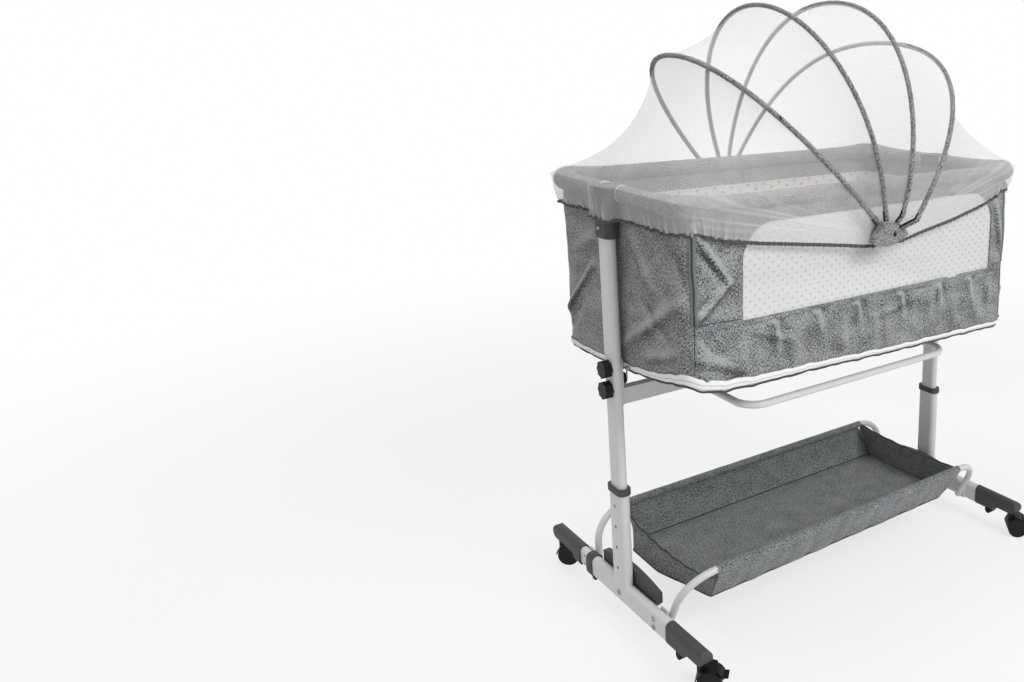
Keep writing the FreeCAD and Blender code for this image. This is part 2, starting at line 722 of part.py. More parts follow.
def make_end_cap(side, sign, front):
    """A plastic end cap: its outline is cut to a flat-oval section, with a spigot and a stem socket."""
    end = "front" if front else "rear"
    name = f"{end}_end_cap_{side}"
    x = side_x(sign, "leg_x")
    joint = -size("bar_front") if front else size("extension_end")
    lobe = 250 if front else 214
    bottom = size("bar_z") - size("bar_height" if front else "extension_height") / 2 - 1
    face = shaped(name + "_outline", cap_profile(front, joint, size("cap_top"), bottom, lobe))
    plate = doc.addObject("Part::Extrusion", name + "_plate")
    plate.Base = face
    plate.DirMode = "Custom"
    plate.Dir = AXIS_X
    plate.Solid = True
    plate.Symmetric = True
    bind(plate, {"LengthFwd": "cap_width + 2"})
    plate.setExpression("Placement.Base.x", formula(x))
    start_y = "-1 * cap_end - cap_arm_height" if front else "extension_end - 1"
    section_bottom = "bar_z - bar_height / 2 - 1"
    section = slot_prism(name + "_section", "cap_width", f"cap_top - ({section_bottom})",
                         (x, start_y, f"(cap_top + ({section_bottom})) / 2"), "cap_end", AXIS_Y)
    shell = common(name + "_shell", plate, section)
    inner = ("leg_width - 2 * leg_wall - free_gap", "bar_height - 2 * leg_wall - free_gap", "bar_front")
    if not front:
        inner = ("extension_width - 2 * extension_wall - free_gap",
                 "extension_height - 2 * extension_wall - free_gap", "extension_end - spigot_length")
    spigot = slot_prism(name + "_spigot", inner[0], inner[1], (x, inner[2], "bar_z"), "spigot_length", AXIS_Y)
    y_stem = "-1 * caster_y" if front else "caster_y"
    socket = cylinder(name + "_socket", AXIS_Z, (x, y_stem, "bar_z - bar_height / 2"),
                      "stem_radius + running_gap", "stem_top - bar_z + bar_height / 2 + 1")
    tools = [socket]
    if front:
        tools.append(cylinder(name + "_notch", AXIS_X, (f"({x}) - leg_width", "nub_y", "nub_z"),
                              "nub_radius + running_gap", "2 * leg_width"))
    return hand_in(cut(name + "_form", fuse(name + "_body", shell, spigot), *tools), name)


def make_foot_nub(side, sign):
    """A rubber stop in the notch of a front cap."""
    return cylinder(f"foot_nub_{side}", AXIS_X, (f"({side_x(sign, 'leg_x')}) - 11", "nub_y", "nub_z"),
                    "nub_radius", "22")


def make_rocker(side, sign):
    """A ribbed plastic arc, stored with its arch up inside the bar, on a pivot at the leg."""
    name = f"rocker_{side}"
    half = size("rocker_half_span")
    tip = size("rocker_tip")
    base = size("bar_z") + 3
    lug = size("rocker_lug")
    lug_half = math.sqrt(lug ** 2 - 3 ** 2)
    x = sign * (size("leg_x") - size("leg_width") / 2 - size("free_gap"))
    corner = 23

    def at(y, z):
        return Vector(x, y, z)

    edges = [
        Part.Arc(at(-half, tip), at(0, size("rocker_crown")), at(half, tip)).toShape(),
        Part.LineSegment(at(half, tip), at(half, tip - corner)).toShape(),
        Part.LineSegment(at(half, tip - corner), at(half - 15, base)).toShape(),
        Part.LineSegment(at(half - 15, base), at(lug_half, base)).toShape(),
        Part.Arc(at(lug_half, base), at(0, size("bar_z") - lug), at(-lug_half, base)).toShape(),
        Part.LineSegment(at(-lug_half, base), at(15 - half, base)).toShape(),
        Part.LineSegment(at(15 - half, base), at(-half, tip - corner)).toShape(),
        Part.LineSegment(at(-half, tip - corner), at(-half, tip)).toShape(),
    ]
    thickness = size("rocker_thickness")
    blank = Part.Face(Part.Wire(edges)).extrude(Vector(-sign * thickness, 0, 0))
    recess_start = x - sign * (thickness - 4)

    def panel(y_from, y_to):
        """A sunk panel between two ribs, which follows the arch."""
        drop = (size("rocker_crown") - tip) / half ** 2
        top = [size("rocker_crown") - 9 - drop * y * y for y in (y_from, y_to)]
        corners = [Vector(recess_start, y_from, top[0]), Vector(recess_start, y_to, top[1]),
                   Vector(recess_start, y_to, base + 7), Vector(recess_start, y_from, base + 7),
                   Vector(recess_start, y_from, top[0])]
        return Part.Face(Part.makePolygon(corners)).extrude(Vector(-sign * thickness, 0, 0))

    panels = [panel(side_of * 20, side_of * 54) for side_of in (-1, 1)]
    panels += [panel(side_of * 59, side_of * 96) for side_of in (-1, 1)]
    body = shaped(name + "_blank", blank.cut(Part.makeCompound(panels)))
    bore = cylinder(name + "_bore", AXIS_X,
                    (f"({side_x(sign, 'leg_x')}) - 2 * leg_width", "0 * leg_x", "bar_z"),
                    "pivot_radius + running_gap", "4 * leg_width")
    return hand_in(cut(name + "_form", body, bore), name)


def make_bolt(name, sign, radius, y, z, reach, nut_height):
    """A bolt across a bar: a low head outside, the shank, and a nut at the far end."""
    out = AXIS_X * sign
    outer = "leg_x + leg_width / 2"
    shank = cylinder(name + "_shank", out, (side_x(sign, f"{outer} - ({reach})"), y, z), radius, reach)
    head = cylinder(name + "_head", out, (side_x(sign, outer), y, z), f"{radius} + 2.2", "2")
    nut = cylinder(name + "_nut", out, (side_x(sign, f"{outer} - ({reach})"), y, z), f"{radius} + 2",
                   nut_height)
    return fuse(name, shank, head, nut)


def make_frame_bolts():
    """The front basket bolts and the two rocker pivots."""
    bolts = []
    through = "leg_width + free_gap + foot_plate_thickness + 1.9"
    for side, sign in SIDES.items():
        for level in ("low", "high"):
            bolts.append(make_bolt(f"basket_bolt_{level}_{side}", sign, "screw_radius", "basket_foot_y",
                                   f"basket_bolt_{level}", through, "1.9"))
        pivot_reach = "leg_width + 2 * free_gap + rocker_thickness + 3.4"
        bolts.append(make_bolt(f"rocker_pivot_{side}", sign, "pivot_radius", "0 * leg_x", "bar_z",
                               pivot_reach, "3"))
    return hand_in(group("frame_bolt_group", bolts), "frame_bolts")


# ---------------------------------------------------------------- basket


def make_basket_tube(end):
    """A bent round tube with a flat bolted foot at each end."""
    front = end == "front"
    foot_x = size("basket_foot_x")
    foot_y = size("basket_foot_y" if front else "basket_rear")
    run_y = size("basket_front" if front else "basket_rear")
    foot_z = size("basket_foot_z")
    top = size("basket_top")
    points = [Vector(-foot_x, foot_y, foot_z), Vector(-foot_x, run_y, top), Vector(foot_x, run_y, top),
              Vector(foot_x, foot_y, foot_z)]
    shape = bent_tube(bent_wire(points, size("basket_corner")), size("basket_tube_radius"), size("rail_wall"))
    plates = []
    for sign in SIDES.values():
        face = size("leg_x") - size("leg_width" if front else "extension_width") / 2 - size("free_gap")
        thickness = size("foot_plate_thickness")
        low_x = min(sign * face, sign * (face - thickness))
        plate = Part.makeBox(thickness, size("foot_plate_width"),
                             size("foot_plate_top") - size("foot_plate_bottom"),
                             Vector(low_x, foot_y - size("foot_plate_width") / 2, size("foot_plate_bottom")))
        stub_low = min(sign * (face - thickness), sign * foot_x)
        stub = Part.makeBox(abs(face - thickness - foot_x), size("basket_tube_radius"), 7,
                            Vector(stub_low, foot_y - size("basket_tube_radius") / 2, foot_z + 8.5))
        plates += [plate, stub]
    body = shaped(f"basket_tube_{end}_bend", shape.fuse(plates))
    holes = []
    for side, sign in SIDES.items():
        for level in ("low", "high"):
            place = (f"({side_x(sign, 'leg_x')}) - leg_width", f"{foot_y}", f"basket_bolt_{level}")
            holes.append(cylinder(f"basket_tube_{end}_{side}_{level}_hole", AXIS_X, place,
                                  "screw_radius + running_gap", "2 * leg_width"))
    return hand_in(cut(f"basket_tube_{end}_form", body, *holes), f"basket_tube_{end}")


def make_basket_fabric():
    """The fabric tray that hangs between the basket tubes, open at the top."""
    clear = size("basket_tube_radius") + size("free_gap")
    front = size("basket_front") + clear
    rear = size("basket_rear") - clear
    wall = size("basket_wall")

    def ring(half, y_front, y_rear, z_front, z_rear):
        corners = [Vector(-half, y_front, z_front), Vector(half, y_front, z_front),
                   Vector(half, y_rear, z_rear), Vector(-half, y_rear, z_rear),
                   Vector(-half, y_front, z_front)]
        return Part.makePolygon(corners)

    top = size("basket_top")
    low = (size("basket_floor_front"), size("basket_floor_rear"))
    outer = Part.makeLoft([ring(size("basket_half_length"), front, rear, top, top),
                           ring(size("basket_floor_half_length"), front + 14, rear - 12, *low)],
                          True, True)
    inner = Part.makeLoft([ring(size("basket_half_length") - wall, front + wall, rear - wall,
                                top + 1, top + 1),
                           ring(size("basket_floor_half_length") - wall, front + 14 + wall, rear - 12 - wall,
                                low[0] + wall, low[1] + wall)], True, True)
    return hand_in(shaped("basket_tray", outer.cut(inner)), "basket_fabric")


# ---------------------------------------------------------------- casters


def make_caster(corner, x_sign, y_sign, yaw):
    """One caster: a hood with its stem, a twin wheel on its axle, and a brake lever."""
    name = f"caster_{corner}"
    trail = "wheel_trail"
    axle_z = "wheel_radius"
    level = "0 * leg_x"
    place = Placement(Vector(x_sign * size("leg_x"), y_sign * size("caster_y"), 0), Rotation(AXIS_Z, yaw))

    web = cylinder(name + "_web", AXIS_Y, (trail, "web_thickness / -2", axle_z), "wheel_radius - 4",
                   "web_thickness")
    cover = cylinder(name + "_cover", AXIS_Y, (trail, "hood_width / -2", axle_z), "hood_radius", "hood_width")
    inside = cylinder(name + "_inside", AXIS_Y, (trail, "-1 * hood_width", axle_z), "hood_radius - hood_wall",
                      "2 * hood_width")
    low_half = box(name + "_low", (f"{trail} - hood_radius - 1", f"{trail} + hood_radius + 1"),
                   ("-1 * hood_width", "hood_width"), ("-5", f"{axle_z} + 4"))
    brake_side = box(name + "_back", (f"{trail} + 13", f"{trail} + hood_radius + 1"),
                     ("-1 * hood_width", "hood_width"), ("-5", f"{axle_z} + hood_radius + 1"))
    shell = cut(name + "_shell", cover, inside, low_half, brake_side)
    web_top = box(name + "_rib", (f"{trail} - 14", f"{trail} + 6"),
                  ("web_thickness / -2", "web_thickness / 2"),
                  (f"{axle_z} + 12", f"{axle_z} + hood_radius - 1"))
    neck = cylinder(name + "_neck", AXIS_Z, (level, level, f"{axle_z} + 8"), "neck_radius",
                    "cap_top - cap_arm_height - wheel_radius - 8.5")
    stem = cylinder(name + "_stem", AXIS_Z, (level, level, f"{axle_z} + 12"), "stem_radius",
                    f"stem_top - {axle_z} - 12")
    room = cylinder(name + "_wheel_room_front", AXIS_Y, (trail, "web_thickness / 2 + 0.01", axle_z),
                    "wheel_radius + 1.6", "hood_width / 2")
    room_back = cylinder(name + "_wheel_room_back", AXIS_Y,
                         (trail, "-1 * (web_thickness / 2 + 0.01) - hood_width / 2", axle_z),
                         "wheel_radius + 1.6", "hood_width / 2")
    bore = cylinder(name + "_bore", AXIS_Y, (trail, "-1 * hood_width", axle_z), "axle_radius + running_gap",
                    "2 * hood_width")
    casting = fuse(name + "_casting", web, web_top, shell, neck, stem)
    hood = cut(name + "_hood", casting, room, room_back, bore)
    hand_in(hood, name + "_hood").Placement = place

    tyres = []
    for i, start in enumerate(("wheel_gap / 2", "-1 * (wheel_gap / 2) - wheel_width")):
        tyres.append(cylinder(f"{name}_tyre_{i}", AXIS_Y, (trail, start, axle_z), "wheel_radius",
                              "wheel_width"))
    axle = cylinder(name + "_axle", AXIS_Y, (trail, "wheel_gap / -2 - 2", axle_z), "axle_radius",
                    "wheel_gap + 4")
    hand_in(fuse(name + "_twin", axle, *tyres), name + "_wheels").Placement = place

    pad = cylinder(name + "_pad", AXIS_Y, (trail, "brake_width / -2", axle_z), "hood_radius + 1.6",
                   "brake_width")
    pad_inside = cylinder(name + "_pad_inside", AXIS_Y, (trail, "-1 * brake_width", axle_z),
                          "wheel_radius + 2.8", "2 * brake_width")
    wedge = box(name + "_wedge", (f"{trail} + 13.6", f"{trail} + hood_radius + 3"),
                ("brake_width / -2", "brake_width / 2"), (f"{axle_z} + 10", f"{axle_z} + hood_radius"))
    arc = common(name + "_arc", cut(name + "_pad_ring", pad, pad_inside), wedge)
    tab = box(name + "_tab", (f"{trail} + 27.5", f"{trail} + hood_radius + brake_tab"),
              ("brake_width / -2 + 3", "brake_width / 2 - 3"), (f"{axle_z} + 10", f"{axle_z} + 13"))
    hand_in(fuse(name + "_lever", arc, tab), name + "_brake").Placement = place


# ---------------------------------------------------------------- bassinet


def half_y(text):
    """A pair of formulas, one to each side of the middle."""
    return (f"-1 * ({text})", text)


def make_rails():
    """The rim tubes: two bent ends, and a straight tube at the front and at the rear."""
    rail_z = size("rim_top") - size("roll_radius")
    half_length = size("rim_length") / 2 - size("roll_radius")
    half_width = size("rim_width") / 2 - size("roll_radius")
    corner = size("rim_corner") - size("roll_radius")
    joint = size("rail_joint_x")
    ends = []
    for side, sign in SIDES.items():
        points = [Vector(sign * joint, -half_width, rail_z), Vector(sign * half_length, -half_width, rail_z),
                  Vector(sign * half_length, half_width, rail_z), Vector(sign * joint, half_width, rail_z)]
        tube = bent_tube(bent_wire(points, corner), size("rail_radius"), size("rail_wall"))
        ends.append(shaped(f"rail_end_{side}", tube))
    hand_in(group("rail_end_group", ends), "rail_ends")
    for end, sign in (("front", -1), ("rear", 1)):
        y = f"{sign} * (rim_width / 2 - roll_radius)"
        z = "rim_top - roll_radius"
        run = cylinder(f"rail_{end}_run", AXIS_X, ("-1 * rail_joint_x + running_gap", y, z), "rail_radius",
                       "2 * (rail_joint_x - running_gap)")
        plug = cylinder(f"rail_{end}_plug", AXIS_X, ("-1 * rail_joint_x - spigot_length", y, z),
                        "rail_radius - rail_wall - running_gap", "2 * (rail_joint_x + spigot_length)")
        hand_in(fuse(f"rail_{end}_form", run, plug), f"rail_{end}")


def make_rim_padding():
    """The fabric-covered roll round the rim tubes, open at the two leg heads."""
    rail_z = size("rim_top") - size("roll_radius")
    wire = rounded_rectangle(size("rim_length") / 2 - size("roll_radius"),
                             size("rim_width") / 2 - size("roll_radius"),
                             size("rim_corner") - size("roll_radius"), rail_z)
    ring = swept_tube(wire, size("roll_radius")).cut(swept_tube(wire, size("rail_radius") + 0.3))
    roll = shaped("rim_roll", ring)
    notches = []
    for side, sign in SIDES.items():
        span = ("head_reach - 5", "rim_length") if sign > 0 else ("-1 * rim_length", "-1 * head_reach + 5")
        notches.append(box(f"rim_notch_{side}", span, half_y("head_depth / 2 + 3"),
                           ("head_bottom", "rim_top + 10")))
    return hand_in(cut("rim_padding_form", roll, *notches), "rim_padding")


def body_form(name, inset):
    """The bassinet's rounded tub at a given inset: its plan outline cut to its front outline."""
    top = "rim_top - 2 * roll_radius"
    length = f"body_length / 2 - {inset}"
    width = f"body_width / 2 - {inset}"
    plan = rounded_box(name + "_plan", half_y(length), half_y(width), (f"body_bottom + {inset}", top),
                       "body_corner", upright)
    front = rounded_box(name + "_front", half_y(length), half_y(width), (f"body_bottom + {inset}", top),
                        "body_heel", low_crosswise)
    return common(name, plan, front)


def make_body():
    """The sewn tub, its drop panel at the front, and the window mesh in that panel."""
    above = box("body_open_top", half_y("rim_length"), half_y("rim_width"),
                ("rim_top - 2 * roll_radius - 1", "rim_top"))
    outer = body_form("body_outer", "0 * leg_x")
    inner_low = body_form("body_inner", "panel_thickness")
    tub = cut("body_tub", outer, inner_low, above)
    depth = ("body_width / -2 - 1", "body_width / -2 + body_corner")
    zone = box("front_zone", half_y("zip_x"), depth, ("body_bottom + band_height", "rim_top"))
    zone_gap = box("front_zone_gap", half_y("zip_x + seam_gap"), depth,
                   ("body_bottom + band_height - seam_gap", "rim_top"))
    hand_in(cut("body_shell_form", tub, zone_gap), "body_shell")
    window = rounded_box("window_hole", ("-1 * window_left", "window_right"),
                         ("body_width / -2 - 5", "body_width / -2 + 10"), ("window_bottom", "window_top"),
                         "window_corner", lambda edge: edge.CenterOfMass.z > size("window_top") - 1
                         and abs(edge.tangentAt(edge.FirstParameter).y) > 0.99)
    panel = common("front_panel_blank", tub, zone)
    hand_in(cut("front_panel_form", panel, window), "front_panel")
    sheet = box("window_sheet", half_y("zip_x"),
                ("body_width / -2 + 2", "body_width / -2 + 2 + mesh_thickness"),
                ("body_bottom + band_height", "rim_top"))
    pane = rounded_box("window_pane", ("-1 * window_left + running_gap", "window_right - running_gap"),
                       ("body_width / -2 - 5", "body_width / -2 + 10"),
                       ("window_bottom + running_gap", "window_top - running_gap"),
                       "window_corner", lambda edge: edge.CenterOfMass.z > size("window_top") - 1
                       and abs(edge.tangentAt(edge.FirstParameter).y) > 0.99)
    hand_in(common("window_mesh_form", sheet, pane), "window_mesh")


def make_floor_board():
    """The stiff board on the tub's floor, under the mattress."""
    bottom = "body_bottom + panel_thickness + 0.2"
    board = rounded_box("floor_board_form", half_y("board_length / 2 - body_heel + 4"),
                        half_y("board_width / 2"), (bottom, f"{bottom} + board_thickness"), "board_corner",
                        upright)
    return hand_in(board, "floor_board")


def make_mattress():
    """A crowned pad: its side is drawn in at the piping top and bottom, and its middle stands higher."""
    half_length = size("mattress_length") / 2
    half_width = size("mattress_width") / 2
    corner = size("mattress_corner")
    draw = size("mattress_draw")
    height = size("mattress_height")
    bottom = size("body_bottom") + size("panel_thickness") + size("board_thickness") + 0.4
    levels = [(0, 30), (0.08, 3 * draw), (0.35, draw), (0.62, 0.35 * draw), (0.86, draw), (0.94, 4 * draw),
              (1, 12 * draw)]
    rings = [rounded_rectangle(half_length - inset, half_width - inset, max(corner - inset, 14),
                               bottom + share * height) for share, inset in levels]
    return hand_in(shaped("mattress_pad", Part.makeLoft(rings, True, True)), "mattress")


# ---------------------------------------------------------------- canopy


def hoop_stack(number):
    """How far out from the middle a hoop's blade lies in the hinge stack."""
    return size("blade_first") + (number - 1) * size("blade_pitch")


def quarter_point(shape, step):
    """A point of a hoop's quarter and the way on from it, in the hoop's own plane (Y across, Z out)."""
    start = Vector(0, shape["start"], size("hoop_start"))
    handles = [start, start + Vector(0, shape["lean"], shape["rise"]),
               Vector(0, shape["crown"], shape["reach"]), Vector(0, 0, shape["reach"])]
    back = 1 - step
    weights = (back ** 3, 3 * back * back * step, 3 * back * step * step, step ** 3)
    slopes = (-back * back, back * back - 2 * back * step, 2 * back * step - step * step, step * step)
    point = Vector()
    way = Vector()
    for handle, weight, slope in zip(handles, weights, slopes):
        point += handle * weight
        way += handle * slope
    return point, way.normalize()


def hoop_stations(shape):
    """Four points of a hoop's quarter, each with the way on from it."""
    return [quarter_point(shape, step) for step in (0, 0.3, 0.62, 1)]


def rim_stations(shape):
    """The same for the net where it goes round the rim's end: straight sides and round corners."""
    side, reach, corner = shape["start"], shape["reach"], shape["corner"]
    return [(Vector(0, side, size("hoop_start")), AXIS_Z), (Vector(0, side, reach - corner), AXIS_Z),
            (Vector(0, side - corner, reach), AXIS_Y * -1), (Vector(0, 0, reach), AXIS_Y * -1)]


def hoop_edges(shape, inset=0.0):
    """A hoop's line from one side to the other as smooth arcs, moved in by an inset."""
    stations = rim_stations(shape) if "corner" in shape else hoop_stations(shape)
    stations += [(Vector(0, -point.y, point.z), Vector(0, way.y, -way.z))
                 for point, way in reversed(stations[:-1])]
    arcs = []
    for (start, start_way), (end, end_way) in zip(stations, stations[1:]):
        arcs += biarc(start, start_way, end, end_way)
    return [moved_in(points, inset) for points in arcs]


def blade_outline(shape, half):
    """The edge-on outline of a hinge blade: flat on the hinge, then bent to meet the rod's start."""
    tip, way = quarter_point(shape, 0)
    middle = [Vector(0, half, 0), Vector(0, half, size("blade_bend")), tip, tip + way * size("blade_bend")]
    thickness = size("blade_thickness")
    sides = []
    for hand in (-1, 1):
        for i, point in enumerate(middle):
            come = (point - middle[max(i - 1, 0)]) if i else middle[1] - point
            leave = (middle[min(i + 1, 3)] - point) if i < 3 else come
            along = (come.normalize() + leave.normalize()).normalize()
            reach = thickness / 2 / max(along.dot(leave.normalize()), 0.5)
            sides.append(point + Vector(0, along.z, -along.y) * (hand * reach))
    return sides[:4] + list(reversed(sides[4:])) + sides[:1]


def make_hoop(number):
    """One hoop: a covered rod with a bent hinge blade at each end, built upright on the hinge axis."""
    shape = HOOP_SHAPES[number]
    half = hoop_stack(number)
    rod = shaped(f"hoop_{number}_rod", swept_tube(Part.Wire(hoop_edges(shape)), size("hoop_radius")))
    width = size("blade_width")
    outline = Part.Face(Part.makePolygon(blade_outline(shape, half)))
    outline.translate(Vector(-width / 2, 0, 0))
    blade = outline.extrude(Vector(width, 0, 0))
    other = blade.mirror(Vector(), AXIS_Y)
    pieces = [rod, shaped(f"hoop_{number}_blades", Part.makeCompound([blade, other]))]
    for side, sign in SIDES.items():
        start = f"{sign} * (blade_first + {number - 1} * blade_pitch) - blade_thickness / 2"
        pieces.append(cylinder(f"hoop_{number}_eye_{side}", AXIS_Y, ("0 * leg_x", start, "0 * leg_x"),
                               "blade_width / 2 + 2", "blade_thickness"))
    bore = cylinder(f"hoop_{number}_bore", AXIS_Y, ("0 * leg_x", "-1 * rim_width", "0 * leg_x"),
                    "hub_pin_radius + running_gap", "2 * rim_width")
    hoop = cut(f"hoop_{number}_form", fuse(f"hoop_{number}_frame", *pieces), bore)
    hoop.Placement = Placement(Vector(size("hub_x"), 0, size("hub_z")), Rotation(AXIS_Y, 90 - shape["angle"]))
    return hand_in(hoop, f"hoop_{number}")


def make_canopy_hubs():
    """The hinges: a plate on the front and on the rear panel, a pin through the blades, and a head."""
    hubs = []
    for end, sign in (("front", -1), ("rear", 1)):
        out = AXIS_Y * sign
        wall = f"{sign} * (body_width / 2 + seam_gap)"
        plate = cylinder(f"hub_plate_{end}", out, ("hub_x", wall, "hub_z"), "hub_plate / 2", "4")
        pin_length = "blade_first + 4 * blade_pitch - body_width / 2"
        pin = cylinder(f"hub_pin_{end}", out, ("hub_x", wall, "hub_z"), "hub_pin_radius", pin_length)
        head_y = f"{sign} * (blade_first + 3 * blade_pitch + blade_thickness)"
        head = cylinder(f"hub_head_{end}", out, ("hub_x", head_y, "hub_z"), "hub_head_radius", "4")
        hubs.append(fuse(f"canopy_hub_{end}", plate, pin, head))
    return hand_in(group("canopy_hub_group", hubs), "canopy_hubs")


def turned(edges, angle):
    """Edges drawn upright on the hinge axis, turned to their angle and moved to the hinge."""
    placement = Placement(Vector(size("hub_x"), 0, size("hub_z")), Rotation(AXIS_Y, 90 - angle))
    for edge in edges:
        edge.Placement = placement.multiply(edge.Placement)
    return edges


def net_line(shape, half, inset):
    """The line of the net in one plane through the hinge axis: a straight foot, then a hoop's curve."""
    edges = hoop_edges(shape, inset)
    first = edges[0].firstVertex(True).Point
    share = (size("net_start") - size("blade_bend")) / (size("hoop_start") - size("blade_bend"))
    foot_y = half + (shape["start"] - half) * share - inset
    foot = Vector(0, foot_y, size("net_start"))
    near = Part.LineSegment(foot, first).toShape()
    far = Part.LineSegment(Vector(0, -first.y, first.z), Vector(0, -foot.y, foot.z)).toShape()
    return [near] + edges + [far]


def net_section(shape, half, inset):
    """A closed band of the net in one plane through the hinge axis."""
    outer = net_line(shape, half, inset)
    inner = net_line(shape, half, inset + size("net_thickness"))
    first = Part.LineSegment(inner[0].firstVertex(True).Point, outer[0].firstVertex(True).Point).toShape()
    last = Part.LineSegment(outer[-1].lastVertex(True).Point, inner[-1].lastVertex(True).Point).toShape()
    back = []
    for edge in reversed(inner):
        edge.reverse()
        back.append(edge)
    return Part.Wire(turned([first] + outer + [last] + back, shape["angle"]))


def rim_section(end_sign, z):
    """The shape and angle of the net where it passes the rim's end at a given height."""
    run = size("net_end_x") - end_sign * size("hub_x")
    rise = z - size("hub_z")
    reach = math.hypot(run, rise)
    return {"angle": math.degrees(math.atan2(rise, end_sign * run)), "start": size("net_side_y"),
            "corner": size("net_corner"), "reach": reach}


def make_canopy_net():
    """One sewn net: from the hem at the foot end over the four hoops to the hem at the head end."""
    side = size("net_side_y")
    rim = size("rim_top") + 2
    hem = size("hem_z")
    sections = [net_section(rim_section(-1, z), side, 0) for z in (hem, rim)]
    slack = {"angle": 150, "start": side + 6, "lean": 8, "rise": 215, "crown": 242, "reach": 492}
    sections.append(net_section(slack, side + 1, 0))
    for number in HOOPS:
        drawn_in = dict(HOOP_SHAPES[number])
        tuck = 0.7 * (drawn_in["start"] - hoop_stack(number))
        drawn_in["start"] -= tuck
        drawn_in["lean"] += tuck
        sections.append(net_section(drawn_in, hoop_stack(number), size("net_inset")))
    slack = {"angle": 36, "start": 300, "lean": 12, "rise": 110, "crown": 310, "reach": 466}
    sections.append(net_section(slack, 284, 0))
    sections += [net_section(rim_section(1, z), side, 0) for z in (rim, hem)]
    return hand_in(shaped("canopy_sheet", Part.makeLoft(sections, True, True)), "canopy_net")


# ---------------------------------------------------------------- the whole crib

collars = []
extension_collars = []
nubs = []
arms = []
for side, sign in SIDES.items():
    make_base_bar(side, sign)
    make_outer_leg(side, sign)
    make_inner_leg(side, sign)
    make_leg_button(side, sign)
    make_leg_head(side, sign)
    make_end_cap(side, sign, front=True)
    make_end_cap(side, sign, front=False)
    make_extension_tube(side, sign)
    make_extension_lock(side, sign)
    make_rocker(side, sign)
    make_knob(side, sign, "upper", "knob_upper_z")
    make_knob(side, sign, "lower", "knob_lower_z")
    collars.append(make_leg_collar(side, sign))
    extension_collars.append(make_extension_collar(side, sign))
    nubs.append(make_foot_nub(side, sign))
    arms.append(make_support_arm(side, sign))
hand_in(group("leg_collar_group", collars), "leg_collars")
hand_in(group("extension_collar_group", extension_collars), "extension_collars")
hand_in(group("foot_nub_group", nubs), "foot_nubs")
hand_in(group("support_arm_group", arms), "support_arms")
make_frame_bolts()
make_support_loop()
for end in ("front", "rear"):
    make_basket_tube(end)
make_basket_fabric()
CASTER_YAWS = {"front_left": -41, "front_right": -41, "rear_left": -41, "rear_right": 20}
for corner, (x_sign, y_sign) in CORNERS.items():
    make_caster(corner, x_sign, y_sign, CASTER_YAWS[corner])
make_rails()
make_rim_padding()
make_body()
make_floor_board()
make_mattress()
make_canopy_hubs()
for number in HOOPS:
    make_hoop(number)
make_canopy_net()
doc.recompute()

for item in doc.Objects:
    if "Invalid" in item.State or "Error" in item.State:
        raise ValueError(f"{item.Name} is {item.State}")
for piece in parts_out:
    if piece.Shape.isNull() or not piece.Shape.isValid() or not piece.Shape.Solids:
        raise ValueError(f"{piece.Label} has no valid solid")

os.makedirs("parts", exist_ok=True)
for piece in parts_out:
    piece.Shape.exportStep(f"parts/{piece.Label}.step")
    box_of = piece.Shape.BoundBox
    print(f"{piece.Label}: {len(piece.Shape.Solids)} solids, {piece.Shape.Volume / 1000:.1f} cm3, "
          f"x {box_of.XMin:.1f}..{box_of.XMax:.1f} y {box_of.YMin:.1f}..{box_of.YMax:.1f} "
          f"z {box_of.ZMin:.1f}..{box_of.ZMax:.1f}")
print(f"{len(parts_out)} sub-parts")
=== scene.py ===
"""The bedside sleeper crib's cloth, net, trim and finishes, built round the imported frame."""

from __future__ import annotations

import json
import logging
import math
from dataclasses import dataclass, field
from enum import Enum
from typing import Callable, Sequence

import bmesh
import bpy
import numpy as np
from mathutils import Matrix, Vector, noise

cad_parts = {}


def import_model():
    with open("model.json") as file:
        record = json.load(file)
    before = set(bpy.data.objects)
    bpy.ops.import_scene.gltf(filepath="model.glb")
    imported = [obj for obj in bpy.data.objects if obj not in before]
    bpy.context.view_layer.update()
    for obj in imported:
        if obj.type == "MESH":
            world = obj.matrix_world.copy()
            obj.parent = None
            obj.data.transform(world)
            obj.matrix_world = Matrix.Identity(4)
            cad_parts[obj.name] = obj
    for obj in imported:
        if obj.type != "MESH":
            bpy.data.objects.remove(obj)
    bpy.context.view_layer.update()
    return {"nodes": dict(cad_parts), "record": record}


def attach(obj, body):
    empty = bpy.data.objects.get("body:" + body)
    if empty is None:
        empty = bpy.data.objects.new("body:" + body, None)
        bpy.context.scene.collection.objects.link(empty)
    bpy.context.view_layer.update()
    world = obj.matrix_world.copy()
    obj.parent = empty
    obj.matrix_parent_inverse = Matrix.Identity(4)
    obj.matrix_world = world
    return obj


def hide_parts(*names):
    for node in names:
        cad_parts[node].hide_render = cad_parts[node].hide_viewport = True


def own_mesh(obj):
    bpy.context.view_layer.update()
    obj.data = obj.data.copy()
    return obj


LOG = logging.getLogger("crib")
MM = 0.001
TURN = 2 * math.pi
Array = np.ndarray
Place = Callable[[Array, Array], Array]
Colour = tuple[float, float, float]
Table = tuple[tuple[float, ...], tuple[float, ...]]
Profile = tuple[tuple[float, float], ...]
MIDDLE = (0.0, 0.0, 760.0)  # of the tub, in mm
TINY = 1e-6
SEAM_REACH = 5e-5  # metres within which grids are sewn together
BOTTOM_TAPE, CORNER_TAPE = 14.5, 12.5  # mm across the zip tapes


# ---------------------------------------------------------------- numbers


def smooth(low: float, high: float, value: Array) -> Array:
    """A soft step from 0 at low to 1 at high."""
    share = np.clip((np.asarray(value, float) - low) / (high - low), 0, 1)
    return share * share * (3 - 2 * share)


def bump(value: Array, middle: float, width: float) -> Array:
    """A soft hill of height 1 and the given half width."""
    return np.exp(-(((np.asarray(value, float) - middle) / width) ** 2))


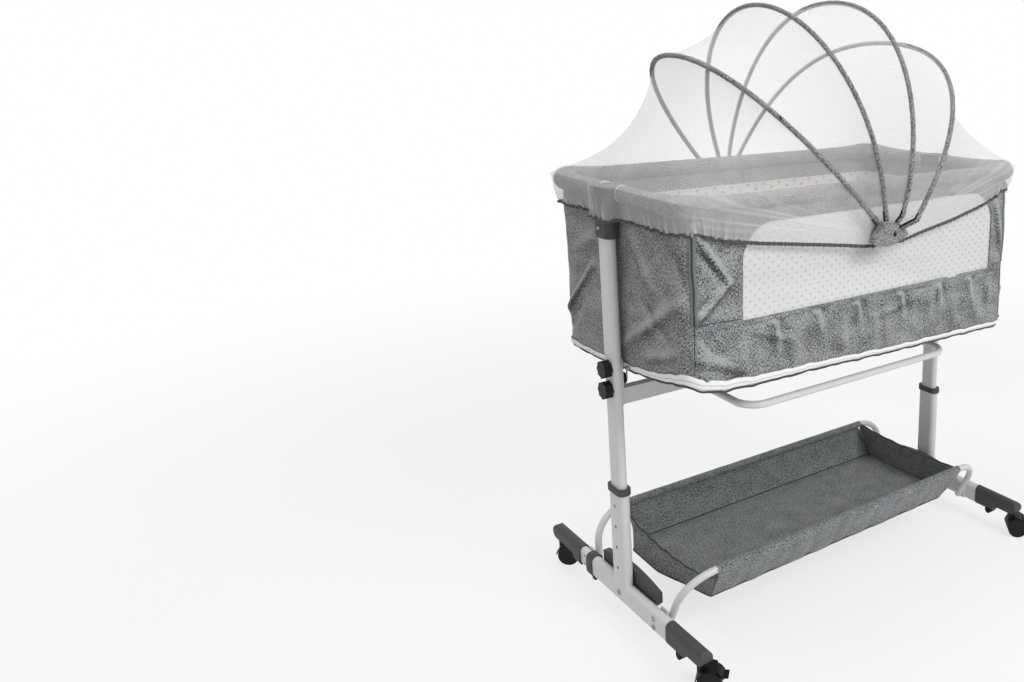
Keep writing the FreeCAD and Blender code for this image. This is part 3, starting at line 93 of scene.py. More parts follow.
def between(low: float, full: float, fade: float, gone: float, value: Array) -> Array:
    """1 from full to fade, falling softly to 0 at low and at gone."""
    return smooth(low, full, value) * (1 - smooth(fade, gone, value))


def waves(along: Array, *terms: tuple[float, float, float]) -> Array:
    """A sum of sines.

    Args:
        along: the distance that the waves run along.
        terms: wavelength, height and phase of each wave.

    Returns:
        The summed height at each point.
    """
    return sum(height * np.sin(TURN * along / length + phase) for length, height, phase in terms)


def rumple(points: Array, size: float, seed: float) -> Array:
    """Smooth noise from -1 to 1 at points in mm, with lumps of about the given size."""
    flat = points.reshape(-1, 3) / size + seed
    found = np.fromiter((noise.noise(Vector(p)) for p in flat), float, len(flat))
    return found.reshape(points.shape[:-1])


def stack(x: Array, y: Array, z: Array) -> Array:
    """Points from their three coordinates."""
    return np.stack(np.broadcast_arrays(x, y, z), axis=-1).astype(float)


def level(nx: Array, ny: Array) -> Array:
    """Level directions from their x and y."""
    return stack(nx, ny, np.zeros_like(nx))


@dataclass(frozen=True)
class Outline:
    """A rounded rectangle seen from above, walked from the middle of the left end by way of the front."""

    half_x: float
    half_y: float
    corner: float

    def table(self) -> Array:
        """Rows of share, x, y and the outward direction's x and y."""
        x, y, r = self.half_x - self.corner, self.half_y - self.corner, self.corner
        rows = [(-self.half_x, 0.0, -1.0, 0.0)]
        for cx, cy, start in ((-x, -y, 180), (x, -y, 270), (x, y, 0), (-x, y, 90)):
            for angle in np.radians(start + np.linspace(0, 90, 19)):
                nx, ny = math.cos(angle), math.sin(angle)
                rows.append((cx + r * nx, cy + r * ny, nx, ny))
        rows.append(rows[0])
        made = np.array(rows)
        steps = np.linalg.norm(np.diff(made[:, :2], axis=0), axis=1)
        share = np.concatenate([[0], np.cumsum(steps)]) / steps.sum()
        return np.column_stack([share, made])

    def length(self) -> float:
        """The way round."""
        return 4 * (self.half_x + self.half_y) - (8 - TURN) * self.corner

    def at(self, share: Array) -> tuple[Array, Array, Array, Array]:
        """x, y and the outward direction at a share of the way round."""
        rows = self.table()
        spot = np.mod(share, 1.0) + (share == 1.0)
        x, y, nx, ny = (np.interp(spot, rows[:, 0], rows[:, k]) for k in (1, 2, 3, 4))
        size = np.hypot(nx, ny)
        return x, y, nx / size, ny / size

    def share_at(self, x: float) -> float:
        """The share at which the front side passes x."""
        rows = self.table()
        front = rows[(rows[:, 2] < 0) & (np.abs(rows[:, 1]) < self.half_x - 1e-6) & (rows[:, 0] < 0.5)]
        return float(np.interp(x, front[:, 1], front[:, 0]))


@dataclass(frozen=True)
class Crease:
    """A soft fold along a line on one face of the tub, in that face's across and up coordinates."""

    start: tuple[float, float]
    end: tuple[float, float]
    width: float
    height: float

    def on(self, across: Array, up: Array) -> Array:
        """How far the fold lifts the cloth."""
        a, b = np.array(self.start), np.array(self.end)
        way = b - a
        share = ((across - a[0]) * way[0] + (up - a[1]) * way[1]) / (way @ way)
        near = np.clip(share, 0, 1)
        off = np.hypot(across - a[0] - near * way[0], up - a[1] - near * way[1])
        return 1.5 * self.height * bump(off, 0, self.width) * (0.55 + 0.45 * np.sin(np.pi * near))


# ---------------------------------------------------------------- meshes


def add_piece(name: str, form: bmesh.types.BMesh) -> bpy.types.Object:
    """Makes a scene object of a form and frees the form."""
    mesh = bpy.data.meshes.new(name)
    form.to_mesh(mesh)
    form.free()
    mesh.shade_smooth()
    made = bpy.data.objects.new(name, mesh)
    bpy.context.scene.collection.objects.link(made)
    return made


def mapped(name: str, columns: Array, rows: Array, place: Place, away: Sequence[float] | None = MIDDLE,
           inward: bool = False, marks: dict[str, Place] | None = None, pattern: Place | None = None,
           close: bool = False) -> bpy.types.Object:
    """Lays a grid of cloth on a surface.

    Args:
        name: the piece's name.
        columns: values of the first parameter, one for each line of the grid.
        rows: values of the second parameter.
        place: gives the points in mm for arrays of both parameters.
        away: a point in mm that the faces look away from, or None to leave them.
        inward: turns the faces towards that point instead.
        marks: named numbers for each point, as functions of both parameters.
        pattern: cloth coordinates in mm, in place of the lengths along the grid's own lines.
        close: fills open edges and turns the shell's faces outwards.

    Returns:
        The new object.
    """
    across, up = len(columns) - 1, len(rows) - 1
    form = bmesh.new()
    bmesh.ops.create_grid(form, x_segments=across, y_segments=up, size=1.0)
    mesh = bpy.data.meshes.new(name)
    form.to_mesh(mesh)
    form.free()
    flat = np.zeros(len(mesh.vertices) * 3)
    mesh.vertices.foreach_get("co", flat)
    flat = flat.reshape(-1, 3)
    i = np.rint((flat[:, 0] + 1) / 2 * across).astype(int)
    j = np.rint((flat[:, 1] + 1) / 2 * up).astype(int)
    first, second = np.meshgrid(np.asarray(columns, float), np.asarray(rows, float), indexing="ij")
    points = place(first, second)
    mesh.vertices.foreach_set("co", (points[i, j] * MM).ravel())
    if pattern is None:
        run = np.linalg.norm(np.diff(points, axis=0), axis=2)
        rise = np.linalg.norm(np.diff(points, axis=1), axis=2)
        u = np.concatenate([np.zeros((1, up + 1)), np.cumsum(run, axis=0)])
        v = np.concatenate([np.zeros((across + 1, 1)), np.cumsum(rise, axis=1)], axis=1)
        cloth = np.stack([u, v], axis=-1)
    else:
        cloth = pattern(first, second)
    corners = np.zeros(len(mesh.loops), int)
    mesh.loops.foreach_get("vertex_index", corners)
    layer = mesh.uv_layers.new(name="cloth")
    layer.data.foreach_set("uv", (cloth[i, j][corners] * MM).ravel())
    for mark, value in (marks or {}).items():
        numbers = np.broadcast_to(value(first, second), first.shape)[i, j].astype(np.float32)
        mesh.attributes.new(mark, "FLOAT", "POINT").data.foreach_set("value", numbers)
    form = bmesh.new()
    form.from_mesh(mesh)
    bpy.data.meshes.remove(mesh)
    bmesh.ops.remove_doubles(form, verts=form.verts, dist=2e-6)
    if close:
        bmesh.ops.holes_fill(form, edges=[e for e in form.edges if e.is_boundary], sides=0)
        bmesh.ops.recalc_face_normals(form, faces=form.faces)
    elif away is not None:
        look(form, away, inward)
    return add_piece(name, form)


def look(form: bmesh.types.BMesh, away: Sequence[float], inward: bool) -> None:
    """Turns a form's faces away from a point, or towards it.

    Args:
        form: the mesh.
        away: the point in mm.
        inward: whether the faces look towards it.
    """
    centre = Vector(away) * MM
    facing = sum(f.normal.dot(f.calc_center_median() - centre) * f.calc_area() for f in form.faces)
    if (facing < 0) != inward:
        bmesh.ops.reverse_faces(form, faces=form.faces)


def frames(path: Array, loop: bool) -> tuple[Array, Array]:
    """Two directions across a path at each of its points, turned as little as the path allows.

    Args:
        path: its points in mm.
        loop: whether it closes.

    Returns:
        Both directions, one row for each point.
    """
    ahead = np.gradient(path, axis=0)
    if loop:
        ahead[0] = ahead[-1] = path[1] - path[-2]
    ahead /= np.linalg.norm(ahead, axis=1)[:, None]
    side = np.cross(ahead[0], [0.0, 0.0, 1.0])
    if np.linalg.norm(side) < 0.1:
        side = np.cross(ahead[0], [0.0, 1.0, 0.0])
    sides = []
    for way in ahead:
        side = side - way * (side @ way)
        side = side / np.linalg.norm(side)
        sides.append(side)
    found = np.array(sides)
    return found, np.cross(ahead, found)


def tube(name: str, path: Array, radius: float, sides: int = 12, loop: bool = False,
         swell: Place | None = None) -> bpy.types.Object:
    """A round cord or sleeve along a path.

    Args:
        name: the piece's name.
        path: its points in mm; a loop repeats its first point at the end.
        radius: in mm.
        sides: the faces round it.
        loop: whether the path closes.
        swell: a factor on the radius by point number and angle.

    Returns:
        The new object.
    """
    one, two = frames(path, loop)

    def place(step: Array, angle: Array) -> Array:
        """Points of the skin by path point and angle."""
        k = step.astype(int)
        size = radius * (1 if swell is None else swell(step, angle))
        size = np.broadcast_to(size, angle.shape)[..., None]
        return path[k] + size * (one[k] * np.cos(angle)[..., None] + two[k] * np.sin(angle)[..., None])

    return mapped(name, np.arange(len(path)), np.linspace(0, TURN, sides + 1), place, None, close=True)


def stitches(name: str, path: Array, side: Array, length: float = 2.7, gap: float = 1.7,
             width: float = 0.85) -> bpy.types.Object:
    """A row of thread stitches along a path that lies on the cloth.

    Args:
        name: the piece's name.
        path: points in mm.
        side: the direction that stands off the cloth at each point.
        length: of one stitch.
        gap: between stitches.
        width: of the thread.

    Returns:
        The new object.
    """
    steps = np.linalg.norm(np.diff(path, axis=0), axis=1)
    run = np.concatenate([[0], np.cumsum(steps)])
    form = bmesh.new()
    for middle in np.arange(length, run[-1] - length, length + gap):
        where = np.array([np.interp(middle, run, path[:, k]) for k in range(3)])
        before = np.array([np.interp(middle - 1, run, path[:, k]) for k in range(3)])
        off = Vector([np.interp(middle, run, side[:, k]) for k in range(3)]).normalized()
        ahead = Vector(where - before).normalized()
        across = ahead.cross(off).normalized()
        turn = Matrix((ahead, across, off)).transposed().to_4x4()
        spot = Matrix.Translation(Vector(where) * MM)
        bmesh.ops.create_cube(form, size=1.0, matrix=spot @ turn @ Matrix.Diagonal(
            (length * MM, width * MM, 0.6 * MM, 1.0)))
    return add_piece(name, form)


def joined(name: str, parts: Sequence[bpy.types.Object]) -> bpy.types.Object:
    """One object of several, with their cloth coordinates and marks.

    Args:
        name: the new piece's name.
        parts: the objects, which it uses up.

    Returns:
        The new object.
    """
    form = bmesh.new()
    for part in parts:
        form.from_mesh(part.data)
    for part in parts:
        mesh = part.data
        bpy.data.objects.remove(part)
        bpy.data.meshes.remove(mesh)
    return add_piece(name, form)


def sewn(name: str, parts: Sequence[bpy.types.Object], is_open: bool = False) -> bpy.types.Object:
    """Sews grids that share edges into one skin.

    Args:
        name: the new piece's name.
        parts: the grids.
        is_open: whether the skin stays open, so that its faces are turned away from the tub's middle.

    Returns:
        The skin, with its faces outwards.
    """
    made = joined(name, parts)
    form = bmesh.new()
    form.from_mesh(made.data)
    bmesh.ops.remove_doubles(form, verts=form.verts, dist=SEAM_REACH)
    bmesh.ops.recalc_face_normals(form, faces=form.faces)
    if is_open:
        look(form, MIDDLE, False)
    form.to_mesh(made.data)
    form.free()
    return made


def turned(name: str, profile: Profile, spot: Sequence[float], axis: Sequence[float],
           steps: int = 24) -> bpy.types.Object:
    """A turned solid.

    Args:
        name: the piece's name.
        profile: radius and height in mm from one end of the axis to the other.
        spot: where the axis starts, in mm.
        axis: the way it points.
        steps: faces round it.

    Returns:
        The new object.
    """
    form = bmesh.new()
    knots = [form.verts.new((r * MM, 0, h * MM)) for r, h in profile]
    edges = [form.edges.new(pair) for pair in zip(knots[:-1], knots[1:])]
    bmesh.ops.spin(form, geom=knots + edges, cent=(0, 0, 0), axis=(0, 0, 1), angle=TURN, steps=steps,
                   use_merge=True)
    bmesh.ops.remove_doubles(form, verts=form.verts, dist=1e-6)
    bmesh.ops.recalc_face_normals(form, faces=form.faces)
    turn = Vector((0, 0, 1)).rotation_difference(Vector(axis)).to_matrix().to_4x4()
    bmesh.ops.transform(form, matrix=Matrix.Translation(Vector(spot) * MM) @ turn, verts=form.verts)
    return add_piece(name, form)


def block(name: str, size: Sequence[float], spot: Sequence[float], turn: Matrix | None = None,
          edge: float = 1.0) -> bpy.types.Object:
    """A small block with rounded edges.

    Args:
        name: the piece's name.
        size: its three sides in mm.
        spot: its middle in mm.
        turn: how it is turned.
        edge: how far its edges are rounded, in mm.

    Returns:
        The new object.
    """
    form = bmesh.new()
    bmesh.ops.create_cube(form, size=1.0, matrix=Matrix.Diagonal((*(s * MM for s in size), 1.0)))
    bmesh.ops.bevel(form, geom=list(form.edges), offset=edge * MM, segments=3, profile=0.5, affect="EDGES",
                    material=-1)
    bmesh.ops.transform(form, matrix=Matrix.Translation(Vector(spot) * MM) @ (turn or Matrix()),
                        verts=form.verts)
    return add_piece(name, form)


def thicken(made: bpy.types.Object, depth: float, offset: float = -1.0) -> bpy.types.Object:
    """Gives cloth its thickness in mm, behind its outer face unless offset says otherwise."""
    wall = made.modifiers.new("thickness", "SOLIDIFY")
    wall.thickness, wall.offset = depth * MM, offset
    wall.use_even_offset = False
    return made


# ---------------------------------------------------------------- finishes


def toned(colour: Colour, factor: float, lift: float = 0.0) -> Colour:
    """A colour made darker or paler."""
    return tuple(factor * part + lift for part in colour)


def arithmetic(operation: str, swap: bool = False) -> Callable[["Value", "Value | float"], "Value"]:
    """An operator of Value that adds one Math node, swapped where the other number comes first."""
    return lambda value, other: value.math(operation, other, swap=swap)


class Value:
    """A number that a shader works out, with Python's arithmetic."""

    def __init__(self, recipe: "Recipe", socket: bpy.types.NodeSocket) -> None:
        """Wraps a socket of a recipe."""
        self.recipe, self.socket = recipe, socket

    def math(self, operation: str, *others: "Value | float", swap: bool = False) -> "Value":
        """One Math node on this value and others."""
        terms = [*others, self] if swap else [self, *others]
        made = self.recipe.node("ShaderNodeMath", {"operation": operation}, dict(enumerate(terms)))
        return Value(self.recipe, made.outputs[0])

    __add__ = __radd__ = arithmetic("ADD")
    __mul__ = __rmul__ = arithmetic("MULTIPLY")
    __sub__, __rsub__ = arithmetic("SUBTRACT"), arithmetic("SUBTRACT", swap=True)
    __truediv__, __rtruediv__ = arithmetic("DIVIDE"), arithmetic("DIVIDE", swap=True)

    def __abs__(self) -> "Value":
        """The size."""
        return self.math("ABSOLUTE")

    def sine(self, length: float) -> "Value":
        """A sine along this value, with its wavelength in metres."""
        return (self * (TURN / length)).math("SINE")

    def cosine(self, length: float) -> "Value":
        """A cosine along this value, with its wavelength in metres."""
        return (self * (TURN / length)).math("COSINE")

    def within(self, low: float, high: float) -> "Value":
        """A soft step from 0 at low to 1 at high."""
        made = self.recipe.node("ShaderNodeMapRange", {"interpolation_type": "SMOOTHSTEP"},
                                {0: self, 1: low, 2: high, 3: 0.0, 4: 1.0})
        return Value(self.recipe, made.outputs[0])


class Space(Enum):
    """Where a finish takes its coordinates from."""

    CLOTH = "UV"
    SOLID = "Object"


class Recipe:
    """A material in the making: one Principled shader and the nodes that feed it."""

    def __init__(self, name: str, space: Space = Space.SOLID) -> None:
        """Starts an empty material of that name."""
        self.material = bpy.data.materials.new(name)
        self.material.use_nodes = True
        self.tree = self.material.node_tree
        self.tree.nodes.clear()
        self.shader = self.tree.nodes.new("ShaderNodeBsdfPrincipled")
        self.output = self.tree.nodes.new("ShaderNodeOutputMaterial")
        self.tree.links.new(self.shader.outputs[0], self.output.inputs[0])
        self.where = self.node("ShaderNodeTexCoord", {}, {}).outputs[space.value]

    def node(self, kind: str, settings: dict, values: dict) -> bpy.types.Node:
        """Adds a node.

        Args:
            kind: the node's type.
            settings: its own settings, set first.
            values: its sockets by name or number, each a number, a colour, a Value or a socket.

        Returns:
            The node.
        """
        made = self.tree.nodes.new(kind)
        for key, value in settings.items():
            setattr(made, key, value)
        for key, value in values.items():
            self.feed(made.inputs[key], value)
        return made

    def feed(self, socket: bpy.types.NodeSocket, value: object) -> None:
        """Sets or links one input."""
        if isinstance(value, Value):
            self.tree.links.new(value.socket, socket)
        elif isinstance(value, bpy.types.NodeSocket):
            self.tree.links.new(value, socket)
        elif isinstance(value, tuple) and socket.type == "RGBA":
            socket.default_value = (*value, 1.0)
        else:
            socket.default_value = value

    def set(self, **values: object) -> "Recipe":
        """Sets inputs of the shader, with _ for a space in a name."""
        for key, value in values.items():
            self.feed(self.shader.inputs[key.replace("_", " ")], value)
        return self

    def axes(self) -> tuple[Value, Value, Value]:
        """The coordinates one by one, in metres."""
        made = self.node("ShaderNodeSeparateXYZ", {}, {0: self.where})
        return tuple(Value(self, made.outputs[k]) for k in range(3))

    def point(self, x: Value | float, y: Value | float, z: Value | float = 0.0) -> bpy.types.NodeSocket:
        """A vector of three numbers."""
        return self.node("ShaderNodeCombineXYZ", {}, {0: x, 1: y, 2: z}).outputs[0]

    def grain(self, scale: float, detail: float = 2.0, where: bpy.types.NodeSocket | None = None) -> Value:
        """Noise from about 0.3 to 0.7 at that scale."""
        made = self.node("ShaderNodeTexNoise", {}, {"Vector": where or self.where, "Scale": scale,
                                                    "Detail": detail, "Roughness": 0.6})
        return Value(self, made.outputs[0])

    def mark(self, name: str) -> Value:
        """A named number of the piece's points."""
        return Value(self, self.node("ShaderNodeAttribute", {"attribute_name": name}, {}).outputs["Fac"])

    def blend(self, share: Value | float, one: object, two: object) -> bpy.types.NodeSocket:
        """A colour between two."""
        return self.node("ShaderNodeMix", {"data_type": "RGBA"}, {0: share, 6: one, 7: two}).outputs[2]

    def relief(self, height: Value, depth: float, strength: float = 1.0) -> None:
        """Gives the surface a fine relief of that depth in metres."""
        made = self.node("ShaderNodeBump", {}, {"Strength": strength, "Distance": depth, "Height": height})
        self.feed(self.shader.inputs["Normal"], made.outputs[0])


@dataclass(frozen=True)
class Melange:
    """Woven cloth of mixed dark and light yarns, with painted highlight on the folds' upper sides and painted
    shade below them.
    """

    name: str
    dark: Colour
    light: Colour
    pitch: float = 0.0012
    yarn: tuple[float, float] = (190.0, 560.0)
    contrast: float = 0.86
    # fold: strength of the painted shade and highlight that the fold mark adds to the colour
    fold: float = 0.62

    def make(self) -> bpy.types.Material:
        """Builds the cloth's material."""
        made = Recipe(self.name, Space.CLOTH)
        u, v, _ = made.axes()
        along, over = self.yarn
        slub = made.grain(1.0, 2.0, made.point(u * along, v * over))
        warp = made.grain(1.0, 2.0, made.point(u * over, v * along, 7.0))
        cloud = made.grain(22.0, 2.0)
        mixed = (slub + warp + (cloud - 0.5) * 0.24).within(0.78, 1.22)
        ground = mixed * self.contrast + (1 - self.contrast) / 2
        # painted shade and highlight: the fold mark, worked out from how each fold faces a lamp above and to
        # the right, lightens or darkens the yarn colour
        shade = (ground + made.mark("fold") * self.fold).within(0.0, 1.0)
        weave = u.sine(self.pitch) * v.sine(self.pitch)
        made.set(Base_Color=made.blend(shade, self.dark, self.light), Roughness=0.86, Specular_IOR_Level=0.2,
                 Sheen_Weight=0.25, Sheen_Roughness=0.5)
        made.relief(mixed * 0.6 + weave * 0.4, 0.0004, 0.6)
        return made.material


@dataclass(frozen=True)
class StarPrint:
    """Cream cotton printed with small five-point stars in half-drop rows, sizes in metres."""

    name: str
    ground: Colour = (0.76, 0.735, 0.68)
    ink: Colour = (0.235, 0.21, 0.185)
    across: float = 0.025
    up: float = 0.022
    size: float = 0.0062
    waist: float = 0.45
    pitch: float = 0.0009

    def make(self) -> bpy.types.Material:
        """Builds the printed cloth's material."""
        made = Recipe(self.name, Space.CLOTH)
        u, v, _ = made.axes()
        column = (u / self.across).math("FLOOR")
        drop = (column * 0.5).math("FRACT")
        x = ((u / self.across).math("FRACT") - 0.5) * self.across
        y = ((v / self.up + drop).math("FRACT") - 0.5) * self.up
        point = TURN / 5
        angle = x.math("ARCTAN2", y) / point
        away = abs((angle + 0.5).math("FRACT") - 0.5) * point
        inner = self.size * self.waist
        reach = (x * x + y * y).math("SQRT")
        edge = reach * (away.math("SINE") * inner + (point / 2 - away).math("SINE") * self.size)
        limit = self.size * inner * math.sin(point / 2)
        inked = 1 - (edge / limit).within(0.86, 1.1)
        worn = made.grain(900.0, 1.0).within(0.2, 0.7)
        weave = u.sine(self.pitch) * v.sine(self.pitch)
        ground = made.blend(made.grain(25.0), toned(self.ground, 0.94), self.ground)
        made.set(Base_Color=made.blend(inked * (worn * 0.25 + 0.7), ground, self.ink), Roughness=0.8,
                 Specular_IOR_Level=0.2, Sheen_Weight=0.1)
        made.relief(weave, 0.0002, 0.4)
        return made.material


@dataclass(frozen=True)
class Netting:
    """Fine knitted net. Where it is gathered it lies in more layers, and hides more.

    Its dots stand for the printed stars that show faintly through the window.
    """

    name: str
    colour: Colour
    cover: float
    hole: float
    lattice: float = 0.12
    densest: float = 0.96
    dots: float = 0.0
    dot: Colour = (0.42, 0.415, 0.4)
    dot_step: tuple[float, float] = (0.023, 0.02)

    def make(self) -> bpy.types.Material:
        """Builds the net's material."""
        made = Recipe(self.name, Space.CLOTH)
        u, v, _ = made.axes()
        one = u.cosine(self.hole)
        two = (u * 0.5 + v * 0.866).cosine(self.hole)
        three = (u * 0.5 - v * 0.866).cosine(self.hole)
        threads = (one + two + three).within(-1.5, 3.0)
        cloud = made.grain(9.0)
        cover = self.cover + (0.5 - threads) * self.lattice + (cloud - 0.5) * 0.08 + made.mark("gather") * 0.5
        spot = (u.cosine(self.dot_step[0]) * v.cosine(self.dot_step[1])).within(0.6, 0.8)
        made.set(Base_Color=made.blend(spot * self.dots, self.colour, self.dot), Roughness=0.75,
                 Specular_IOR_Level=0.15, Alpha=cover.math("MINIMUM", self.densest))
        made.relief(threads, 0.0002, 0.3)
        return made.material


@dataclass(frozen=True)
class Paint:
    """Satin powder paint on steel, with its fine orange-peel and a few rubbed marks."""

    name: str
    colour: Colour
    rubbed: Colour
    roughness: float = 0.36

    def make(self) -> bpy.types.Material:
        """Builds the paint's material."""
        made = Recipe(self.name)
        x, y, z = made.axes()
        rub = made.grain(1.0, 3.0, made.point(x * 60.0, y * 60.0, z * 9.0)).within(0.62, 0.74)
        tone = made.blend(made.grain(7.0), toned(self.colour, 0.965), self.colour)
        made.set(Base_Color=made.blend(rub * 0.35, tone, self.rubbed),
                 Roughness=made.grain(130.0) * 0.16 + (self.roughness - 0.08))
        made.relief(made.grain(700.0, 1.0), 0.00025, 0.35)
        return made.material


@dataclass(frozen=True)
class Moulded:
    """Moulded plastic or rubber with a fine spark-eroded grain and slightly paler handled places."""

    name: str
    colour: Colour
    roughness: float
    grain: float = 1400.0

    def make(self) -> bpy.types.Material:
        """Builds the plastic's material."""
        made = Recipe(self.name)
        dust = made.grain(45.0, 3.0).within(0.5, 0.75)
        made.set(Base_Color=made.blend(dust * 0.6, self.colour, toned(self.colour, 1.3, 0.003)),
                 Roughness=made.grain(220.0) * 0.2 + (self.roughness - 0.1), Specular_IOR_Level=0.22)
        made.relief(made.grain(self.grain, 1.0), 0.00018, 0.5)
        return made.material


@dataclass(frozen=True)
class Plated:
    """Zinc-plated steel with faint turning marks."""

    name: str
    colour: Colour = (0.33, 0.33, 0.32)

    def make(self) -> bpy.types.Material:
        """Builds the plated steel's material."""
        made = Recipe(self.name)
        cloud = made.grain(90.0, 3.0)
        made.set(Base_Color=made.blend(cloud, toned(self.colour, 0.8), self.colour), Metallic=1.0,
                 Roughness=cloud * 0.25 + 0.2)
        made.relief(made.grain(1100.0, 1.0), 0.0001, 0.4)
        return made.material


@dataclass(frozen=True)
class PressedBoard:
    """Pressed wood-fibre board."""

    name: str

    def make(self) -> bpy.types.Material:
        """Builds the board's material."""
        made = Recipe(self.name)
        x, y, z = made.axes()
        fibre = made.grain(1.0, 4.0, made.point(x * 90.0, y * 900.0, z * 900.0))
        made.set(Base_Color=made.blend(fibre, (0.33, 0.24, 0.15), (0.5, 0.38, 0.25)), Roughness=0.7)
        made.relief(fibre, 0.0003, 0.4)
        return made.material


@dataclass(frozen=True)
class ZipTape:
    """Zip tape across its width: edge cloth, tape, and a row of teeth or a dark slit in the middle."""

    name: str
    width: float
    tape: Colour
    middle: Colour
    edge: Colour
    slit: float
    band: float
    tooth: float = 0.0022
    rib: float = 0.0011

    def make(self) -> bpy.types.Material:
        """Builds the tape's material."""
        made = Recipe(self.name, Space.CLOTH)
        u, v, _ = made.axes()
        off = abs(v - self.width / 2)
        tooth = u.sine(self.tooth).within(-0.4, 0.6)
        rib = v.sine(self.rib)
        in_slit = 1 - off.within(self.slit * 0.85, self.slit * 1.15)
        in_tape = 1 - off.within(self.band * 0.96, self.band * 1.04)
        cloth = made.blend(made.grain(800.0), toned(self.edge, 0.6), toned(self.edge, 1.3))
        tape = made.blend(made.grain(60.0), toned(self.tape, 0.93), self.tape)
        body = made.blend(in_tape, cloth, tape)
        made.set(Base_Color=made.blend(in_slit * (0.7 + tooth * 0.3), body, self.middle), Roughness=0.72,
                 Specular_IOR_Level=0.25)
        made.relief(rib * 0.2 + in_slit * tooth, 0.0005, 0.6)
        return made.material


@dataclass(frozen=True)
class Thread:
    """Twisted sewing thread or cord."""

    name: str
    colour: Colour

    def make(self) -> bpy.types.Material:
        """Builds the thread's material."""
        made = Recipe(self.name)
        fluff = made.grain(700.0, 2.0)
        made.set(Base_Color=made.blend(fluff, toned(self.colour, 0.6), toned(self.colour, 1.35)),
                 Roughness=0.8, Specular_IOR_Level=0.2, Sheen_Weight=0.2)
        made.relief(fluff, 0.0003, 0.5)
        return made.material


class Wardrobe:
    """Every finish of the crib, made once."""

    def __init__(self) -> None:
        """Makes the finishes."""
        self.grey = Melange("grey_melange_cloth", (0.032, 0.035, 0.036), (0.44, 0.455, 0.46)).make()
        self.sleeve = Melange("hoop_sleeve_cloth", (0.05, 0.052, 0.053), (0.42, 0.43, 0.435)).make()
        self.basket = Melange("basket_cloth", (0.055, 0.06, 0.063), (0.36, 0.378, 0.384)).make()
        self.star = StarPrint("star_print_cotton").make()
        self.net = Netting("canopy_net_knit", (0.84, 0.84, 0.84), 0.27, 0.0021).make()
        self.window = Netting("window_mesh_knit", (0.82, 0.82, 0.825), 0.68, 0.0017, dots=0.5).make()
        self.steel = Paint("light_grey_paint", (0.68, 0.69, 0.67), (0.56, 0.57, 0.55)).make()
        self.rail = Paint("rail_paint", (0.5, 0.5, 0.49), (0.42, 0.42, 0.41), 0.42).make()
        self.plastic = Moulded("charcoal_plastic", (0.07, 0.07, 0.066), 0.55).make()
        self.black = Moulded("black_plastic", (0.006, 0.006, 0.006), 0.5).make()
        self.tyre = Moulded("wheel_tread", (0.008, 0.008, 0.008), 0.55, 900.0).make()
        self.rubber = Moulded("stop_rubber", (0.008, 0.008, 0.008), 0.75, 600.0).make()
        self.zinc = Plated("zinc_steel").make()
        self.board = PressedBoard("pressed_board").make()
        self.tape = ZipTape("bottom_zip_tape", BOTTOM_TAPE * MM, (0.93, 0.93, 0.93), (0.62, 0.62, 0.62),
                            (0.5, 0.5, 0.5), 0.0009, 0.0066).make()
        self.slot = ZipTape("corner_zip_tape", CORNER_TAPE * MM, (0.3, 0.31, 0.31), (0.004, 0.004, 0.004),
                            (0.2, 0.21, 0.21), 0.0026, 0.0036).make()
        self.white = Thread("white_piping", (0.8, 0.8, 0.79)).make()
        self.dark = Thread("dark_piping", (0.06, 0.062, 0.063)).make()
        self.thread = Thread("grey_thread", (0.3, 0.31, 0.31)).make()
        self.hem = Thread("elastic_hem", (0.08, 0.083, 0.083)).make()


class Shop:
    """Dresses pieces, hangs them on their bodies and keeps the log."""

    def __init__(self) -> None:
        """Makes the finishes ready."""
        self.wear = Wardrobe()

    def fit(self, made: bpy.types.Object, finish: bpy.types.Material, body: str,
            slot: str | None = None) -> bpy.types.Object:
        """Gives a piece its finish and its body.

        Args:
            made: the piece.
            finish: its material.
            body: the CAD body that it moves with.
            slot: the record's material slot; not used.

        Returns:
            The piece.
        """
        made.data.materials.clear()
        made.data.materials.append(finish)
        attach(made, body)
        LOG.info("%s: %d faces on %s", made.name, len(made.data.polygons), body)
        return made


# ---------------------------------------------------------------- frame


